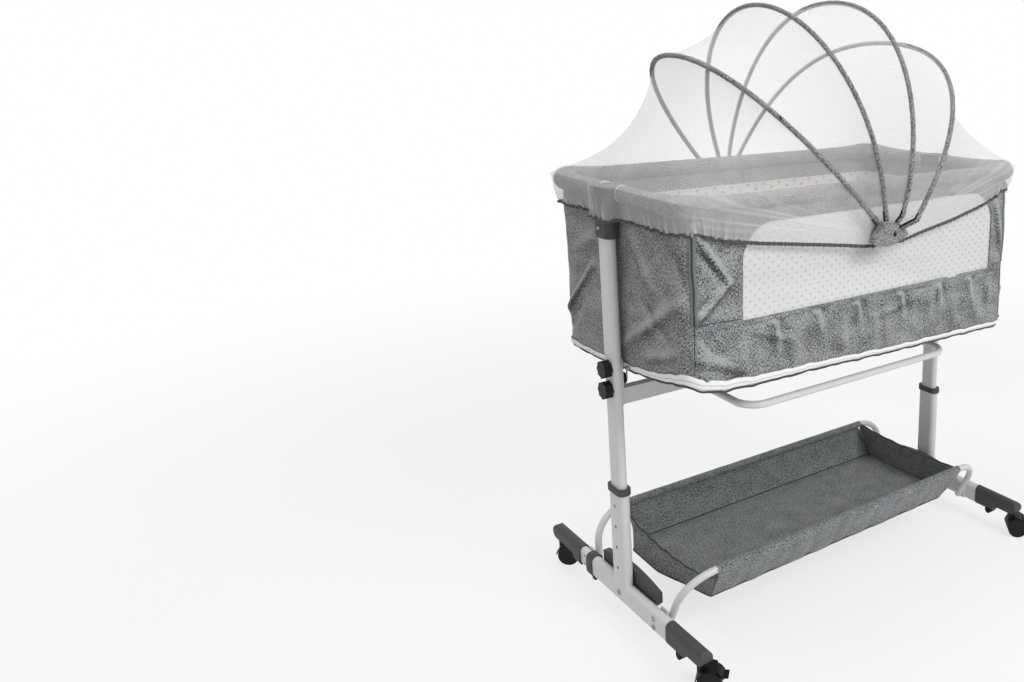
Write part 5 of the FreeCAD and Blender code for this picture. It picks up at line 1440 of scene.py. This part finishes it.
@dataclass
class Basket:
    """The cloth tray slung between the two basket tubes."""

    shop: Shop
    half: float = 372.0
    tube_z: float = 178.8
    front_y: float = -208.5
    rear_y: float = 168.0
    floor_front: tuple[float, float] = (-186.0, 103.0)
    floor_rear: tuple[float, float] = (147.5, 85.0)
    sleeve: float = 9.2
    wrap_steps: int = 15
    middle_y: float = -20.0
    wall_low: float = 92.0
    left_reach: Table = ((-186, -162, -92, -11, 110, 147), (372, 376, 384, 398, 392, 357))
    right_reach: Table = ((-186, -150, -120, -85, 100, 147), (322, 352, 372, 384, 393, 396))
    tubes: tuple[str, str] = ("basket_tube_front", "basket_tube_rear")

    def section(self) -> Array:
        """The sling's section in y and z, from round the front tube to round the rear tube."""
        def wrap(y: float, start: float, end: float) -> Array:
            """The cloth round a tube, from one angle to another."""
            a = np.radians(np.linspace(start, end, self.wrap_steps))
            return np.column_stack([y + self.sleeve * np.cos(a), self.tube_z + self.sleeve * np.sin(a)])

        front, rear = np.array(self.floor_front), np.array(self.floor_rear)
        start, end = wrap(self.front_y, -30, 205), wrap(self.rear_y, -25, 210)
        share = np.linspace(0, 1, 26)[:, None]
        floor = front + share * (rear - front) - (0, 5.0) * np.sin(math.pi * share)
        down = np.linspace(start[-1] + (2.0, -8.0), front + (-2.0, 6.0), 12)[1:]
        up = np.linspace(rear + (2.0, 6.0), end[0] - (1.0, 6.0), 12)
        return np.concatenate([start, down, floor, up, end])

    def floor_at(self, sign: Array, y: Array) -> Array:
        """How far the bellied floor reaches to one side at y; it is cut back at the right front."""
        return np.where(sign < 0, np.interp(y, *self.left_reach), np.interp(y, *self.right_reach))

    def long_at(self, sign: Array, y: Array, z: Array) -> Array:
        """How far the tray reaches to one side at y and z."""
        share = np.clip((z - self.wall_low) / (self.tube_z - 10.0 - self.wall_low), 0, 1)
        floor = self.floor_at(sign, y)
        return floor + share * (self.half - floor)

    def build(self) -> None:
        """The sling, its two end walls, and the piping at the floor's edges."""
        section = self.section()

        def place(share: Array, knot: Array) -> Array:
            """Points of the sling by share to a side and section point."""
            m = knot.astype(int)
            y, z = section[m, 0], section[m, 1]
            x = share * self.long_at(share, y, z)
            points = stack(x, y, z)
            on_tube = np.minimum(m, len(section) - 1 - m) < self.wrap_steps - 1
            ripple = waves(x, (61.0, 0.9, 0.0), (37.0, 0.5, 1.2), (97.0, 0.8, 2.6))
            ripple = (ripple + 1.8 * rumple(points, 70.0, 31.0)) * np.where(on_tube, 0.25, 1.0)
            off = np.abs(y - self.middle_y)
            points[..., 1] += np.where(off > 160, ripple, 0.0)
            sag = 2.0 * smooth(0.2, 0.6, 1 - np.abs(share))
            points[..., 2] += np.where((off < 165) & (z < 120), 1.4 * rumple(points, 60.0, 41.0) - sag, 0.0)
            return points

        sling = mapped("basket_sling", np.linspace(-1, 1, 190), np.arange(len(section)), place, (0, -20, 400),
                       inward=True)
        thicken(sling, 1.6, 1.0)
        self.shop.fit(sling, self.shop.wear.basket, "base", "grey_cloth")
        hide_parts("basket_fabric")
        for name, sign in (("left", -1), ("right", 1)):
            self.end_wall(name, sign)
        (fy, fz), (ry, rz) = self.floor_front, self.floor_rear
        share = np.linspace(0, 1, 60)
        y = fy + share * (ry - fy)
        z = fz + share * (rz - fz) + 1.0 - 3 * np.sin(np.pi * share)
        left, right = self.floor_at(-np.ones_like(y), y), self.floor_at(np.ones_like(y), y)
        ring = [stack(-left[0] + (left[0] + right[0]) * share, fy, fz + 2.5), stack(right, y, z),
                stack(right[-1] - (right[-1] + left[-1]) * share, ry - 2.0, rz + 4.0),
                stack(-left, y, z)[::-1]]
        path = np.concatenate([r[:-1] for r in ring] + [ring[0][:1]])
        cord = tube("basket_floor_piping", path, 1.6, 8, True)
        self.shop.fit(cord, self.shop.wear.dark, "base")

    def end_wall(self, name: str, sign: int) -> None:
        """One end wall with its bound top edge, which dips between the tubes.

        Args:
            name: left or right.
            sign: -1 at the left end, 1 at the right.
        """
        (fy, fz), (ry, rz) = self.floor_front, self.floor_rear

        def place(share: Array, part: Array) -> Array:
            """Points of the wall, share from front to rear and part from the floor up."""
            low_y, low_z = fy + share * (ry - fy), fz + share * (rz - fz) - 3 * np.sin(np.pi * share)
            top_y = self.front_y - 6.5 + share * (self.rear_y - self.front_y + 14.0)
            sag, shape = (52.0, 0.35) if sign < 0 else (11.0, 0.6)
            top_z = self.tube_z + 3.0 - sag * np.clip(np.sin(np.pi * share), 0, 1) ** shape
            y = low_y + part * (top_y - low_y)
            z = low_z + part * (top_z - low_z)
            low_x = self.floor_at(np.full_like(low_y, sign), low_y)
            points = stack(sign * (low_x + part * (self.half + 2.0 - low_x)), y, z)
            bow = -3.0 * np.sin(np.pi * part) * np.sin(np.pi * share) + 1.6 * rumple(points, 55.0, 51.0)
            bow += 1.2 * waves(y + 0.6 * z, (52.0, 1.0, 0.0)) * part
            points[..., 0] -= sign * bow * np.sin(np.pi * np.clip(share, 0.02, 0.98)) ** 0.3
            return points

        made = mapped(f"basket_end_{name}", np.linspace(0, 1, 70), np.linspace(0, 1, 18), place, (0, 0, 140))
        thicken(made, 1.6)
        self.shop.fit(made, self.shop.wear.basket, "base", "grey_cloth")
        share = np.linspace(0, 1, 70)
        cord = tube(f"basket_edge_{name}", place(share, np.full_like(share, 1.0)), 2.0, 8)
        self.shop.fit(cord, self.shop.wear.dark, "base")


# ---------------------------------------------------------------- canopy


HUB = (22.0, 846.0)
BLADE = (12.0, 46.0)  # where a hoop's hinge blade starts and ends, out from the hub
HINGE, HINGE_STEP = 275.4, 6.4  # across to the first blade, and from one blade to the next


def fan(angle: float, y: Array, reach: Array) -> Array:
    """Points in a plane through the hub axis, turned up from the head end by an angle in degrees."""
    a = math.radians(angle)
    return stack(HUB[0] + reach * math.cos(a), y, HUB[1] + reach * math.sin(a))


@dataclass(frozen=True)
class HalfCurve:
    """A curve from the hub to the crown in its own plane, as distances across and out."""

    angle: float
    across: tuple[float, ...]
    out: tuple[float, ...]

    def at(self, part: Array) -> tuple[Array, Array]:
        """Distances across and out at a part of the way, 0 at the foot and 1 at the crown."""
        y, r = np.array(self.across), np.array(self.out)
        steps = np.hypot(np.diff(y), np.diff(r))
        run = np.concatenate([[0], np.cumsum(steps)]) / steps.sum()
        return np.interp(part, run, y), np.interp(part, run, r)

    def over(self, share: Array) -> Array:
        """Points from the front foot over the crown to the rear foot."""
        part = 1 - np.abs(2 * share - 1)
        y, r = self.at(part)
        return fan(self.angle, np.where(share < 0.5, -y, y), r)


def bent(angle: float, foot: tuple[float, float], start: float, lean: float, rise: float, crown: float,
         reach: float) -> HalfCurve:
    """A hoop's half: a straight foot, then one smooth bend up to the crown.

    Args:
        angle: of its plane, in degrees.
        foot: distances across and out of its lowest point.
        start: distance across where the bend starts, at the blade's end.
        lean: how far the bend first leans outwards.
        rise: how long it runs upwards.
        crown: how long it runs inwards to the crown.
        reach: how far out the crown is.

    Returns:
        The half curve.
    """
    t = np.linspace(0, 1, 81)[:, None]
    low = BLADE[1]
    knots = ((start, low), (start + lean, low + rise), (crown, reach), (0, reach))
    a, b, c, d = (np.array(knot, float) for knot in knots)
    curve = (1 - t) ** 3 * a + 3 * t * (1 - t) ** 2 * b + 3 * t * t * (1 - t) * c + t ** 3 * d
    points = np.vstack([foot, curve])
    return HalfCurve(angle, tuple(points[:, 0]), tuple(points[:, 1]))


@dataclass(frozen=True)
class Hoop:
    """One hoop of the canopy."""

    number: int
    angle: float
    start: float
    lean: float
    rise: float
    crown: float
    reach: float

    def curve(self, foot: float = 30.0) -> HalfCurve:
        """Its centre line from a distance out along the blade."""
        hinge = HINGE + HINGE_STEP * (self.number - 1)
        share = (foot - BLADE[0]) / (BLADE[1] - BLADE[0])
        across = hinge + (self.start - hinge) * share
        return bent(self.angle, (across, foot), self.start, self.lean, self.rise, self.crown, self.reach)

    def build(self, shop: Shop) -> None:
        """The grey cloth sleeve round the hoop's rod."""
        path = self.curve(14.0).over(np.linspace(0, 1, 260))
        run = np.concatenate([[0], np.cumsum(np.linalg.norm(np.diff(path, axis=0), axis=1))])

        def swell(step: Array, angle: Array) -> Array:
            """The sleeve's radius factor: its seam, its wrinkles and its drawn-in ends."""
            r = run[step.astype(int)]
            seam = 0.22 * bump(np.mod(angle, TURN), 4.6, 0.35)
            ends = 1 - 0.25 * (bump(r, 0, 14) + bump(r, run[-1], 14))
            return (1 + waves(r + 3 * np.sin(angle), (17.0, 0.025, 0.0), (29.0, 0.03, 1.4)) + seam) * ends

        made = tube(f"hoop_sleeve_{self.number}", path, 5.0, 16, False, swell)
        shop.fit(made, shop.wear.sleeve, f"hoop_{self.number}", "hoop_rod")


@dataclass
class Canopy:
    """The net over four hoops, its skirts round the rim, the elastic hem, and the hub pouches."""

    shop: Shop
    hoops: tuple[Hoop, ...] = (
        Hoop(1, 133.4, 279, -2, 194, 196, 496), Hoop(2, 106, 287.2, 52, 252, 183, 482),
        Hoop(3, 80.6, 314.7, 33, 159, 270, 482), Hoop(4, 58.4, 340.5, 7.5, 91, 372, 458))
    dips: tuple[float, float, float] = (17.0, 15.0, 12.0)
    rim_z: float = 960.0
    rim_x: float = 481.0
    rim_y: float = 268.0
    rim_corner: float = 44.0
    rim_foot: Table = ((283.0, 276.0), (30.0, 110.0))
    head_room: float = 15.0
    hem_room: float = 29.0
    hem_tuck: float = 17.0
    core: tuple[float, float] = (370.0, 160.0)
    lie: float = 19.6
    skirt_lie: float = 18.2
    corner_lie: float = 6.5
    folded: float = 7.0
    low_angle: float = 20.0
    hem_line: Table = (
        (-490, -447, -387, -297, -149, -40, 22, 65, 107, 234, 335, 433, 490),
        (897, 896, 883, 867, 846, 830, 826, 829, 834, 853, 874, 902, 903))
    snap_profile: Profile = ((0, 3.0), (2.2, 2.8), (4.0, 2.0), (5.0, 0.6), (5.2, -0.6))
    pouch: Profile = ((-45, 839), (-11, 881), (28, 879), (65, 848), (18, 829), (-19, 831))

    def rim_curve(self, side: int) -> HalfCurve:
        """Where the net bends over the rim at one end, in the plane through the hub."""
        out_x = self.rim_x + side * -HUB[0]
        rise = self.rim_z - HUB[1]
        reach = math.hypot(out_x, rise)
        angle = math.degrees(math.atan2(rise, side * out_x))
        r = self.rim_corner
        bend = np.radians(np.linspace(0, 90, 14))[1:]
        foot_across, foot_out = self.rim_foot
        across = (*foot_across, self.rim_y, *(self.rim_y - r + r * math.cos(a) for a in bend), 0.0)
        out = (*foot_out, reach - r, *(reach - r + r * math.sin(a) for a in bend), reach)
        return HalfCurve(angle, across, out)

    @staticmethod
    def at_end(x: Array) -> Array:
        """How far a place is round an end of the rim, from 0 on the long sides to 1."""
        return smooth(380, 440, np.abs(x))

    def head(self, points: Array, grow: float) -> Array:
        """Lets the net stand off over the leg heads."""
        made = points.copy()
        near = (1 - smooth(30, 62, np.abs(points[..., 1]))) * self.at_end(points[..., 0])
        made[..., 0] += np.sign(points[..., 0]) * near * grow
        return made

    def clear(self, points: Array, gap: float) -> Array:
        """Moves points out of the foam roll to where the net lies on it.

        Args:
            points: in mm.
            gap: how far from the roll's centre line the net lies.

        Returns:
            The moved points.
        """
        x, y, z = np.moveaxis(points, -1, 0)
        over_x = np.abs(x) - (ROLL.half_x - ROLL.corner)
        over_y = np.abs(y) - (ROLL.half_y - ROLL.corner)
        out_x, out_y = np.maximum(over_x, 0), np.maximum(over_y, 0)
        far = np.hypot(out_x, out_y)
        off = far + np.minimum(np.maximum(over_x, over_y), 0) - ROLL.corner
        nx = np.sign(x) * np.where(far > 0, out_x / np.maximum(far, TINY), over_x > over_y)
        ny = np.sign(y) * np.where(far > 0, out_y / np.maximum(far, TINY), over_x <= over_y)
        reach = np.maximum(np.hypot(off, z - ROLL_Z), TINY)
        push = np.clip(gap + self.corner_lie * corner_share(x, y) - reach, 0, None) / reach
        return stack(x + nx * off * push, y + ny * off * push, z + (z - ROLL_Z) * push)

    def rim(self, side: int, share: Array) -> Array:
        """Points of the bend over the rim."""
        return self.head(self.rim_curve(side).over(share), self.head_room)

    def hem(self, side: int, share: Array) -> Array:
        """Points of the elastic edge below the rim."""
        x, y, _ = np.moveaxis(self.rim_curve(side).over(share), -1, 0)
        z = np.interp(x, *self.hem_line)
        x = x - np.sign(x) * self.hem_tuck * self.at_end(x)
        tuck = np.minimum(np.abs(y), 5.5 + 11.0 * corner_share(x, y)) * (1 - bump(x, HUB[0], 70.0))
        return self.head(stack(x, y - np.sign(y) * tuck, z), self.hem_room)

    def crowding(self, points: Array) -> Array:
        """How much the elastic gathers the net, from 0 on the long sides to 1 round the ends."""
        return smooth(300, 430, np.abs(points[..., 0] - 10))

    def skirt(self, side: int, share: Array, part: Array) -> Array:
        """The net between the rim and the hem, gathered more round the ends.

        Args:
            side: -1 for the left end, 1 for the right.
            share: of the way along the rim.
            part: of the way down, 1 at the hem.

        Returns:
            The points in mm.
        """
        top, low = self.rim(side, share), self.hem(side, share)
        shape = part + 0.10 * np.sin(np.pi * part)
        points = top + (low - top) * shape[..., None]
        run = self.run(side, share)
        crowd = self.crowding(points)
        fold = waves(run, (19.0, 0.55, 0.0), (26.3, 0.6, 1.7), (13.7, 0.3, 0.6), (47.0, 0.5, 2.9))
        height = (0.35 + 4.6 * crowd) * part ** 1.3 * fold
        x, y = points[..., 0], points[..., 1]
        away = stack(x - np.sign(x) * self.core[0], y - np.sign(y) * self.core[1], 0 * run)
        away = np.where(np.abs(points[..., :1]) > self.core[0] + 2, away, stack(0 * run, y, 0 * run))
        away /= np.maximum(np.linalg.norm(away, axis=-1), TINY)[..., None]
        belly = 3.0 * np.sin(np.pi * part) * (0.4 + crowd)
        points = points + away * (np.maximum(height, -1.2) + belly)[..., None]
        points[..., 2] += crowd * part * 1.8 * waves(run, (21.0, 0.8, 1.0), (33.0, 0.6, 0.0))
        return self.clear(points, self.skirt_lie)

    def run(self, side: int, share: Array) -> Array:
        """The way along the rim in mm."""
        curve = self.rim_curve(side)
        steps = np.hypot(np.diff(curve.across), np.diff(curve.out))
        return share * 2 * steps.sum() + side * 11.0

    def gore(self, one: HalfCurve, two: HalfCurve, dip: float) -> Place:
        """A panel between two hoops.

        Args:
            one: the first hoop's half.
            two: the second's.
            dip: how far the net sinks towards the hub half way, in mm.

        Returns:
            The surface.
        """

        def place(share: Array, part: Array) -> Array:
            """Points along the hoops and from one to the other."""
            a, b = one.over(share), two.over(share)
            points = a + (b - a) * part[..., None]
            hub = stack(np.full_like(share, HUB[0]), points[..., 1] * 0.35, np.full_like(share, HUB[1]))
            way = hub - points
            way /= np.linalg.norm(way, axis=-1)[..., None]
            deep = dip * 4 * part * (1 - part) * np.sin(np.pi * share) ** 0.8
            return points + way * deep[..., None]
        return place

    def end_gore(self, side: int, hoop: Hoop, slack: HalfCurve) -> Place:
        """An end panel, hollow like a stretched cloth.

        Args:
            side: -1 for the left end, 1 for the right.
            hoop: the outer hoop that it starts from.
            slack: where its middle line runs.

        Returns:
            The surface.
        """

        def place(share: Array, part: Array) -> Array:
            """Points along the hoop and from it to the rim."""
            a, b = hoop.curve().over(share), self.rim(side, share)
            middle = slack.over(share)
            pull = 2 * middle - (a + b) / 2
            t = part[..., None]
            return self.clear((1 - t) ** 2 * a + 2 * t * (1 - t) * pull + t * t * b, self.lie)
        return place

    def streaks(self, share: Array, part: Array, lines: Sequence[tuple[float, float, float]]) -> Array:
        """Folds that run from the corners to the hub, as marks for the net's density."""
        foot = np.minimum(share, 1 - share)
        along = between(0.01, 0.06, 0.26, 0.36, foot)
        return sum(strength * bump(part, middle, width) for middle, width, strength in lines) * along

    def ends(self, share: Array, part: Array) -> Array:
        """How much denser a gore lies near the hubs, where it narrows."""
        return 0.05 * (bump(share, 0, 0.08) + bump(share, 1, 0.08))

    def net(self, name: str, place: Place, columns: int, rows: int, gather: Place, body: str,
            flat: tuple[float, float], squash: tuple[float, float] | None) -> bpy.types.Object:
        """Makes one panel of net.

        Args:
            name: the piece's name.
            place: its surface.
            columns: grid lines along the hoops.
            rows: grid lines from hoop to hoop.
            gather: how densely it lies, as a function of both parameters.
            body: what it rides on.
            flat: its cut size in metres; not used.
            squash: the angle of the plane that it folds to, and what share of it is left.

        Returns:
            The new object.
        """
        made = mapped(name, np.linspace(0, 1, columns), np.linspace(0, 1, rows), place, (40, 0, 860),
                      marks={"gather": gather})
        self.shop.fit(made, self.shop.wear.net, body, "white_mesh")
        "stretched" if "gore" in name else "gathered"
        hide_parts("canopy_net")
        self.fold(made, squash)
        return made

    @staticmethod
    def fold(made: bpy.types.Object, squash: tuple[float, float] | None) -> None:
        """Gives a piece that should fold with the hoops its own mesh; it does not fold it."""
        if squash is None:
            return
        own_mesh(made)

    @staticmethod
    def keep(closed: float, opened: float) -> float:
        """The share left of a gore that closes from one angle in degrees to another."""
        return math.tan(math.radians(closed)) / math.tan(math.radians(opened))

    def build(self) -> None:
        """Makes the sleeves, the net's panels, the hem and the pouches."""
        one, four = self.hoops[0], self.hoops[-1]
        for hoop in self.hoops:
            hoop.build(self.shop)
        flats = ((1.1, 0.21), (1.15, 0.19), (1.2, 0.16))
        for k, (a, b) in enumerate(zip(self.hoops[:-1], self.hoops[1:])):
            place = self.gore(a.curve(), b.curve(), self.dips[k])
            squash = (b.angle, self.keep(self.folded, a.angle - b.angle))
            self.net(f"net_gore_{a.number}_{b.number}", place, 150, 17, self.ends, f"hoop_{b.number}",
                     flats[k], squash)
        lines = ((0.93, 0.012, 0.35), (0.985, 0.012, 0.45), (0.80, 0.01, 0.15))
        rim_angle, shut_left = self.rim_curve(1).angle, (one.angle, 0.1)
        closed = self.keep(self.low_angle - rim_angle, four.angle - rim_angle)
        for name, side, hoop, slack, body, squash in (
                ("left", -1, one, bent(150.0, (277.0, 30.0), 274.0, 4, 190, 225, 458), "hoop_1", shut_left),
                ("right", 1, four, bent(34.0, (289.0, 30.0), 296.0, 8, 105, 300, 436), "bassinet",
                 (rim_angle, closed))):
            self.net(f"net_gore_{name}", self.end_gore(side, hoop, slack), 220, 40,
                     lambda s, p: self.streaks(s, p, lines) + self.ends(s, p), body, (1.25, 0.25), squash)
        for name, side, body, squash in (("left", -1, "hoop_1", shut_left), ("right", 1, "bassinet", None)):
            self.build_skirt(name, side, body, squash)
        for name, sign in (("front", -1), ("rear", 1)):
            self.build_pouch(name, sign)

    def build_skirt(self, name: str, side: int, body: str, squash: tuple[float, float] | None) -> None:
        """One end's skirt with its elastic hem.

        Args:
            name: left or right.
            side: -1 or 1.
            body: what it rides on.
            squash: how it folds, if it does.
        """
        lines = ((0.25, 0.03, 0.35), (0.5, 0.035, 0.3), (0.78, 0.03, 0.3))

        def gather(share: Array, part: Array) -> Array:
            """How much denser the skirt lies: gathers, corner pleats, streaks and the turned edge."""
            points = self.rim_curve(side).over(share)
            crowd, run = self.crowding(points), self.run(side, share)
            fold = waves(run, (19.0, 0.5, 0.0), (26.3, 0.5, 1.7), (13.7, 0.3, 0.6))
            dense = crowd * part ** 1.5 * (0.12 + 0.34 * np.clip(fold, 0, 1))
            corner = smooth(395, 440, np.abs(points[..., 0])) * smooth(165, 225, np.abs(points[..., 1]))
            pleat = 0.3 * corner * part ** 2 * np.clip(waves(run, (11.0, 1.0, 0.4), (17.0, 0.7, 2.0)), 0, 1)
            return dense + pleat + self.streaks(share, part, lines) + 0.25 * bump(part, 1.0, 0.06)

        self.net(f"net_skirt_{name}", lambda s, p: self.skirt(side, s, p), 760, 16, gather, body, (1.5, 0.06),
                 squash)
        share = np.linspace(0.004, 0.996, 700)
        path = self.skirt(side, share, np.full_like(share, 1.0))
        run = self.run(side, share)
        crinkle = 1 + 0.16 * waves(run, (9.0, 1.0, 0.0), (14.0, 0.7, 1.0))
        made = tube(f"net_hem_{name}", path, 3.3, 10, False, lambda step, angle: (
            0.72 + 0.42 * np.abs(np.sin(angle))) * crinkle[step.astype(int)])
        self.shop.fit(made, self.shop.wear.hem, body)
        self.fold(made, squash)

    def build_pouch(self, name: str, sign: int) -> None:
        """The five-sided cloth pouch over one hub, with its snap.

        Args:
            name: front or rear.
            sign: -1 at the front, 1 at the rear.
        """
        corner = np.array(self.pouch)
        middle = corner.mean(axis=0) + np.array([1.0, 1.0])
        closed = np.vstack([corner, corner[:1]])
        steps = np.linalg.norm(np.diff(closed, axis=0), axis=1)
        run = np.concatenate([[0], np.cumsum(steps)]) / steps.sum()

        def place(share: Array, part: Array) -> Array:
            """Points of the pouch, part 0 to 1 on its face and 1 to 2 down its side."""
            edge = np.stack([np.interp(share, run, closed[:, k]) for k in (0, 1)], axis=-1)
            near = np.min(np.abs(share[..., None] - run), axis=-1)
            edge = middle + (edge - middle) * (1 - 0.05 * bump(near, 0, 0.025))[..., None]
            face = np.clip(part, 0, 1)
            wall = np.clip(part - 1, 0, 1)
            spot = middle + (edge - middle) * (face * (1 - 0.04 * wall))[..., None]
            stand = 304.5 + 7.5 * (1 - face ** 2.4) + 1.2 * bump(face, 0.9, 0.05) - 15.0 * wall
            stand = stand + 0.8 * np.sin(share * 5 * TURN) * face * (1 - wall)
            return stack(spot[..., 0], sign * stand, spot[..., 1])

        made = mapped(f"hub_pouch_{name}", np.linspace(0, 1, 97),
                      np.array([0, 0.2, 0.4, 0.6, 0.74, 0.84, 0.9, 0.95, 1.0, 1.15, 1.5, 2.0]), place,
                      (22, sign * 250, 850), pattern=lambda s, t: place(s, t)[..., [0, 2]])
        thicken(made, 1.4)
        self.shop.fit(made, self.shop.wear.sleeve, "bassinet", "grey_cloth")
        snap = turned(f"hub_snap_{name}", self.snap_profile, (13.0, sign * 311.0, 854.0), (0, sign, 0), 24)
        self.shop.fit(snap, self.shop.wear.black, "bassinet")


# ---------------------------------------------------------------- studio


@dataclass
class Studio:
    """Camera, lamps, pale floor and world."""

    place: tuple[float, float, float] = (-1.3186, -1.64665, 1.23174)
    azimuth: float = 40.9
    pitch: float = 14.77
    roll: float = 0.8
    focal: float = 928.45
    centre: tuple[float, float] = (829.91, 289.01)
    picture: tuple[int, int] = (1024, 682)
    film: float = 36.0
    light: float = 0.47
    target: tuple[float, float, float] = (0.0, 0.0, 0.6)

    def camera(self) -> None:
        """Stands the camera where the photograph was taken."""
        data = bpy.data.cameras.new("camera")
        wide, high = self.picture
        data.sensor_width = self.film
        data.lens = self.film * self.focal / wide
        data.shift_x = -(self.centre[0] - wide / 2) / wide
        data.shift_y = (self.centre[1] - high / 2) / wide
        data.clip_start, data.clip_end = 0.05, 60.0
        a, e, r = (math.radians(v) for v in (self.azimuth, self.pitch, self.roll))
        ahead = Vector((math.sin(a) * math.cos(e), math.cos(a) * math.cos(e), -math.sin(e)))
        right = Vector((math.cos(a), -math.sin(a), 0))
        up = right.cross(ahead)
        turned_right = math.cos(r) * right + math.sin(r) * up
        turned_up = -math.sin(r) * right + math.cos(r) * up
        made = bpy.data.objects.new("camera", data)
        made.matrix_world = Matrix.Translation(self.place) @ Matrix(
            (turned_right, turned_up, -ahead)).transposed().to_4x4()
        bpy.context.scene.collection.objects.link(made)
        bpy.context.scene.camera = made

    def lamp(self, name: str, spot: Sequence[float], size: float, power: float) -> None:
        """One soft square lamp that faces the crib.

        Args:
            name: the lamp's name.
            spot: where it hangs, in metres.
            size: its side in metres.
            power: in watts.
        """
        data = bpy.data.lights.new(name, "AREA")
        data.shape, data.size, data.energy = "SQUARE", size, power
        made = bpy.data.objects.new(name, data)
        made.location = spot
        made.rotation_euler = (Vector(self.target) - Vector(spot)).to_track_quat("-Z", "Y").to_euler()
        bpy.context.scene.collection.objects.link(made)

    def world(self) -> None:
        """A white surround for the camera and reflections, and a softer one for light."""
        world = bpy.data.worlds.new("surround")
        world.use_nodes = True
        tree = world.node_tree
        tree.nodes.clear()
        out = tree.nodes.new("ShaderNodeOutputWorld")
        path = tree.nodes.new("ShaderNodeLightPath")
        seen = tree.nodes.new("ShaderNodeMath")
        seen.operation = "MAXIMUM"
        tree.links.new(path.outputs["Is Camera Ray"], seen.inputs[0])
        mirror = tree.nodes.new("ShaderNodeMath")
        mirror.operation = "MAXIMUM"
        tree.links.new(path.outputs["Is Glossy Ray"], mirror.inputs[0])
        tree.links.new(path.outputs["Is Transmission Ray"], mirror.inputs[1])
        tree.links.new(mirror.outputs[0], seen.inputs[1])
        feeds = [seen]
        for strength in (self.light, 1.0):
            feeds.append(tree.nodes.new("ShaderNodeBackground"))
            feeds[-1].inputs["Color"].default_value = (1, 1, 1, 1)
            feeds[-1].inputs["Strength"].default_value = strength
        mix = tree.nodes.new("ShaderNodeMixShader")
        for k, feed in enumerate(feeds):
            tree.links.new(feed.outputs[0], mix.inputs[k])
        tree.links.new(mix.outputs[0], out.inputs[0])
        bpy.context.scene.world = world

    def floor(self) -> None:
        """A wide pale floor that shows white and still keeps the crib's soft shadow."""
        form = bmesh.new()
        bmesh.ops.create_circle(form, cap_ends=True, segments=96, radius=14.0)
        made = add_piece("studio_floor", form)
        recipe = Recipe("studio_paper")
        recipe.set(Base_Color=recipe.blend(recipe.grain(3.0), (0.8, 0.8, 0.8), (0.83, 0.83, 0.83)),
                   Roughness=0.9, Specular_IOR_Level=0.1)
        path = recipe.node("ShaderNodeLightPath", {}, {})
        rays = [Value(recipe, path.outputs[f"Is {kind} Ray"])
                for kind in ("Camera", "Glossy", "Transmission")]
        seen = rays[0].math("MAXIMUM", rays[1]).math("MAXIMUM", rays[2])
        x, y, _ = recipe.axes()
        far = (x * x + y * y).math("SQRT").within(1.2, 3.4)
        glow = recipe.node("ShaderNodeEmission", {}, {"Color": (1.0, 1.0, 1.0), "Strength": 1.0})
        share = seen * (0.72 + far * 0.28)
        mix = recipe.node("ShaderNodeMixShader", {},
                          {0: share, 1: recipe.shader.outputs[0], 2: glow.outputs[0]})
        recipe.tree.links.new(mix.outputs[0], recipe.output.inputs[0])
        made.data.materials.append(recipe.material)

    def build(self) -> None:
        """Sets the whole studio."""
        self.camera()
        self.world()
        self.floor()
        self.lamp("key_lamp", (0.6, -3.2, 2.9), 1.7, 82.0)
        self.lamp("top_lamp", (-0.6, 0.6, 4.2), 2.4, 60.0)
        view = bpy.context.scene.view_settings
        view.view_transform = "Standard"


def main() -> None:
    """Builds the crib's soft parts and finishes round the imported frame."""
    logging.basicConfig(level=logging.INFO, format="%(name)s %(message)s")
    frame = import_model()
    shop = Shop()
    steel = SteelFrame(shop, frame["nodes"])
    steel.dress(frame["record"])
    steel.build()
    RimRoll(shop).build()
    tub = Tub(shop)
    tub.build_cloth()
    tub.build_front()
    tub.build_lining()
    tub.build_trim()
    Mattress(shop).build()
    Basket(shop).build()
    Canopy(shop).build()
    Studio().build()


if __name__ == "__main__":
    main()
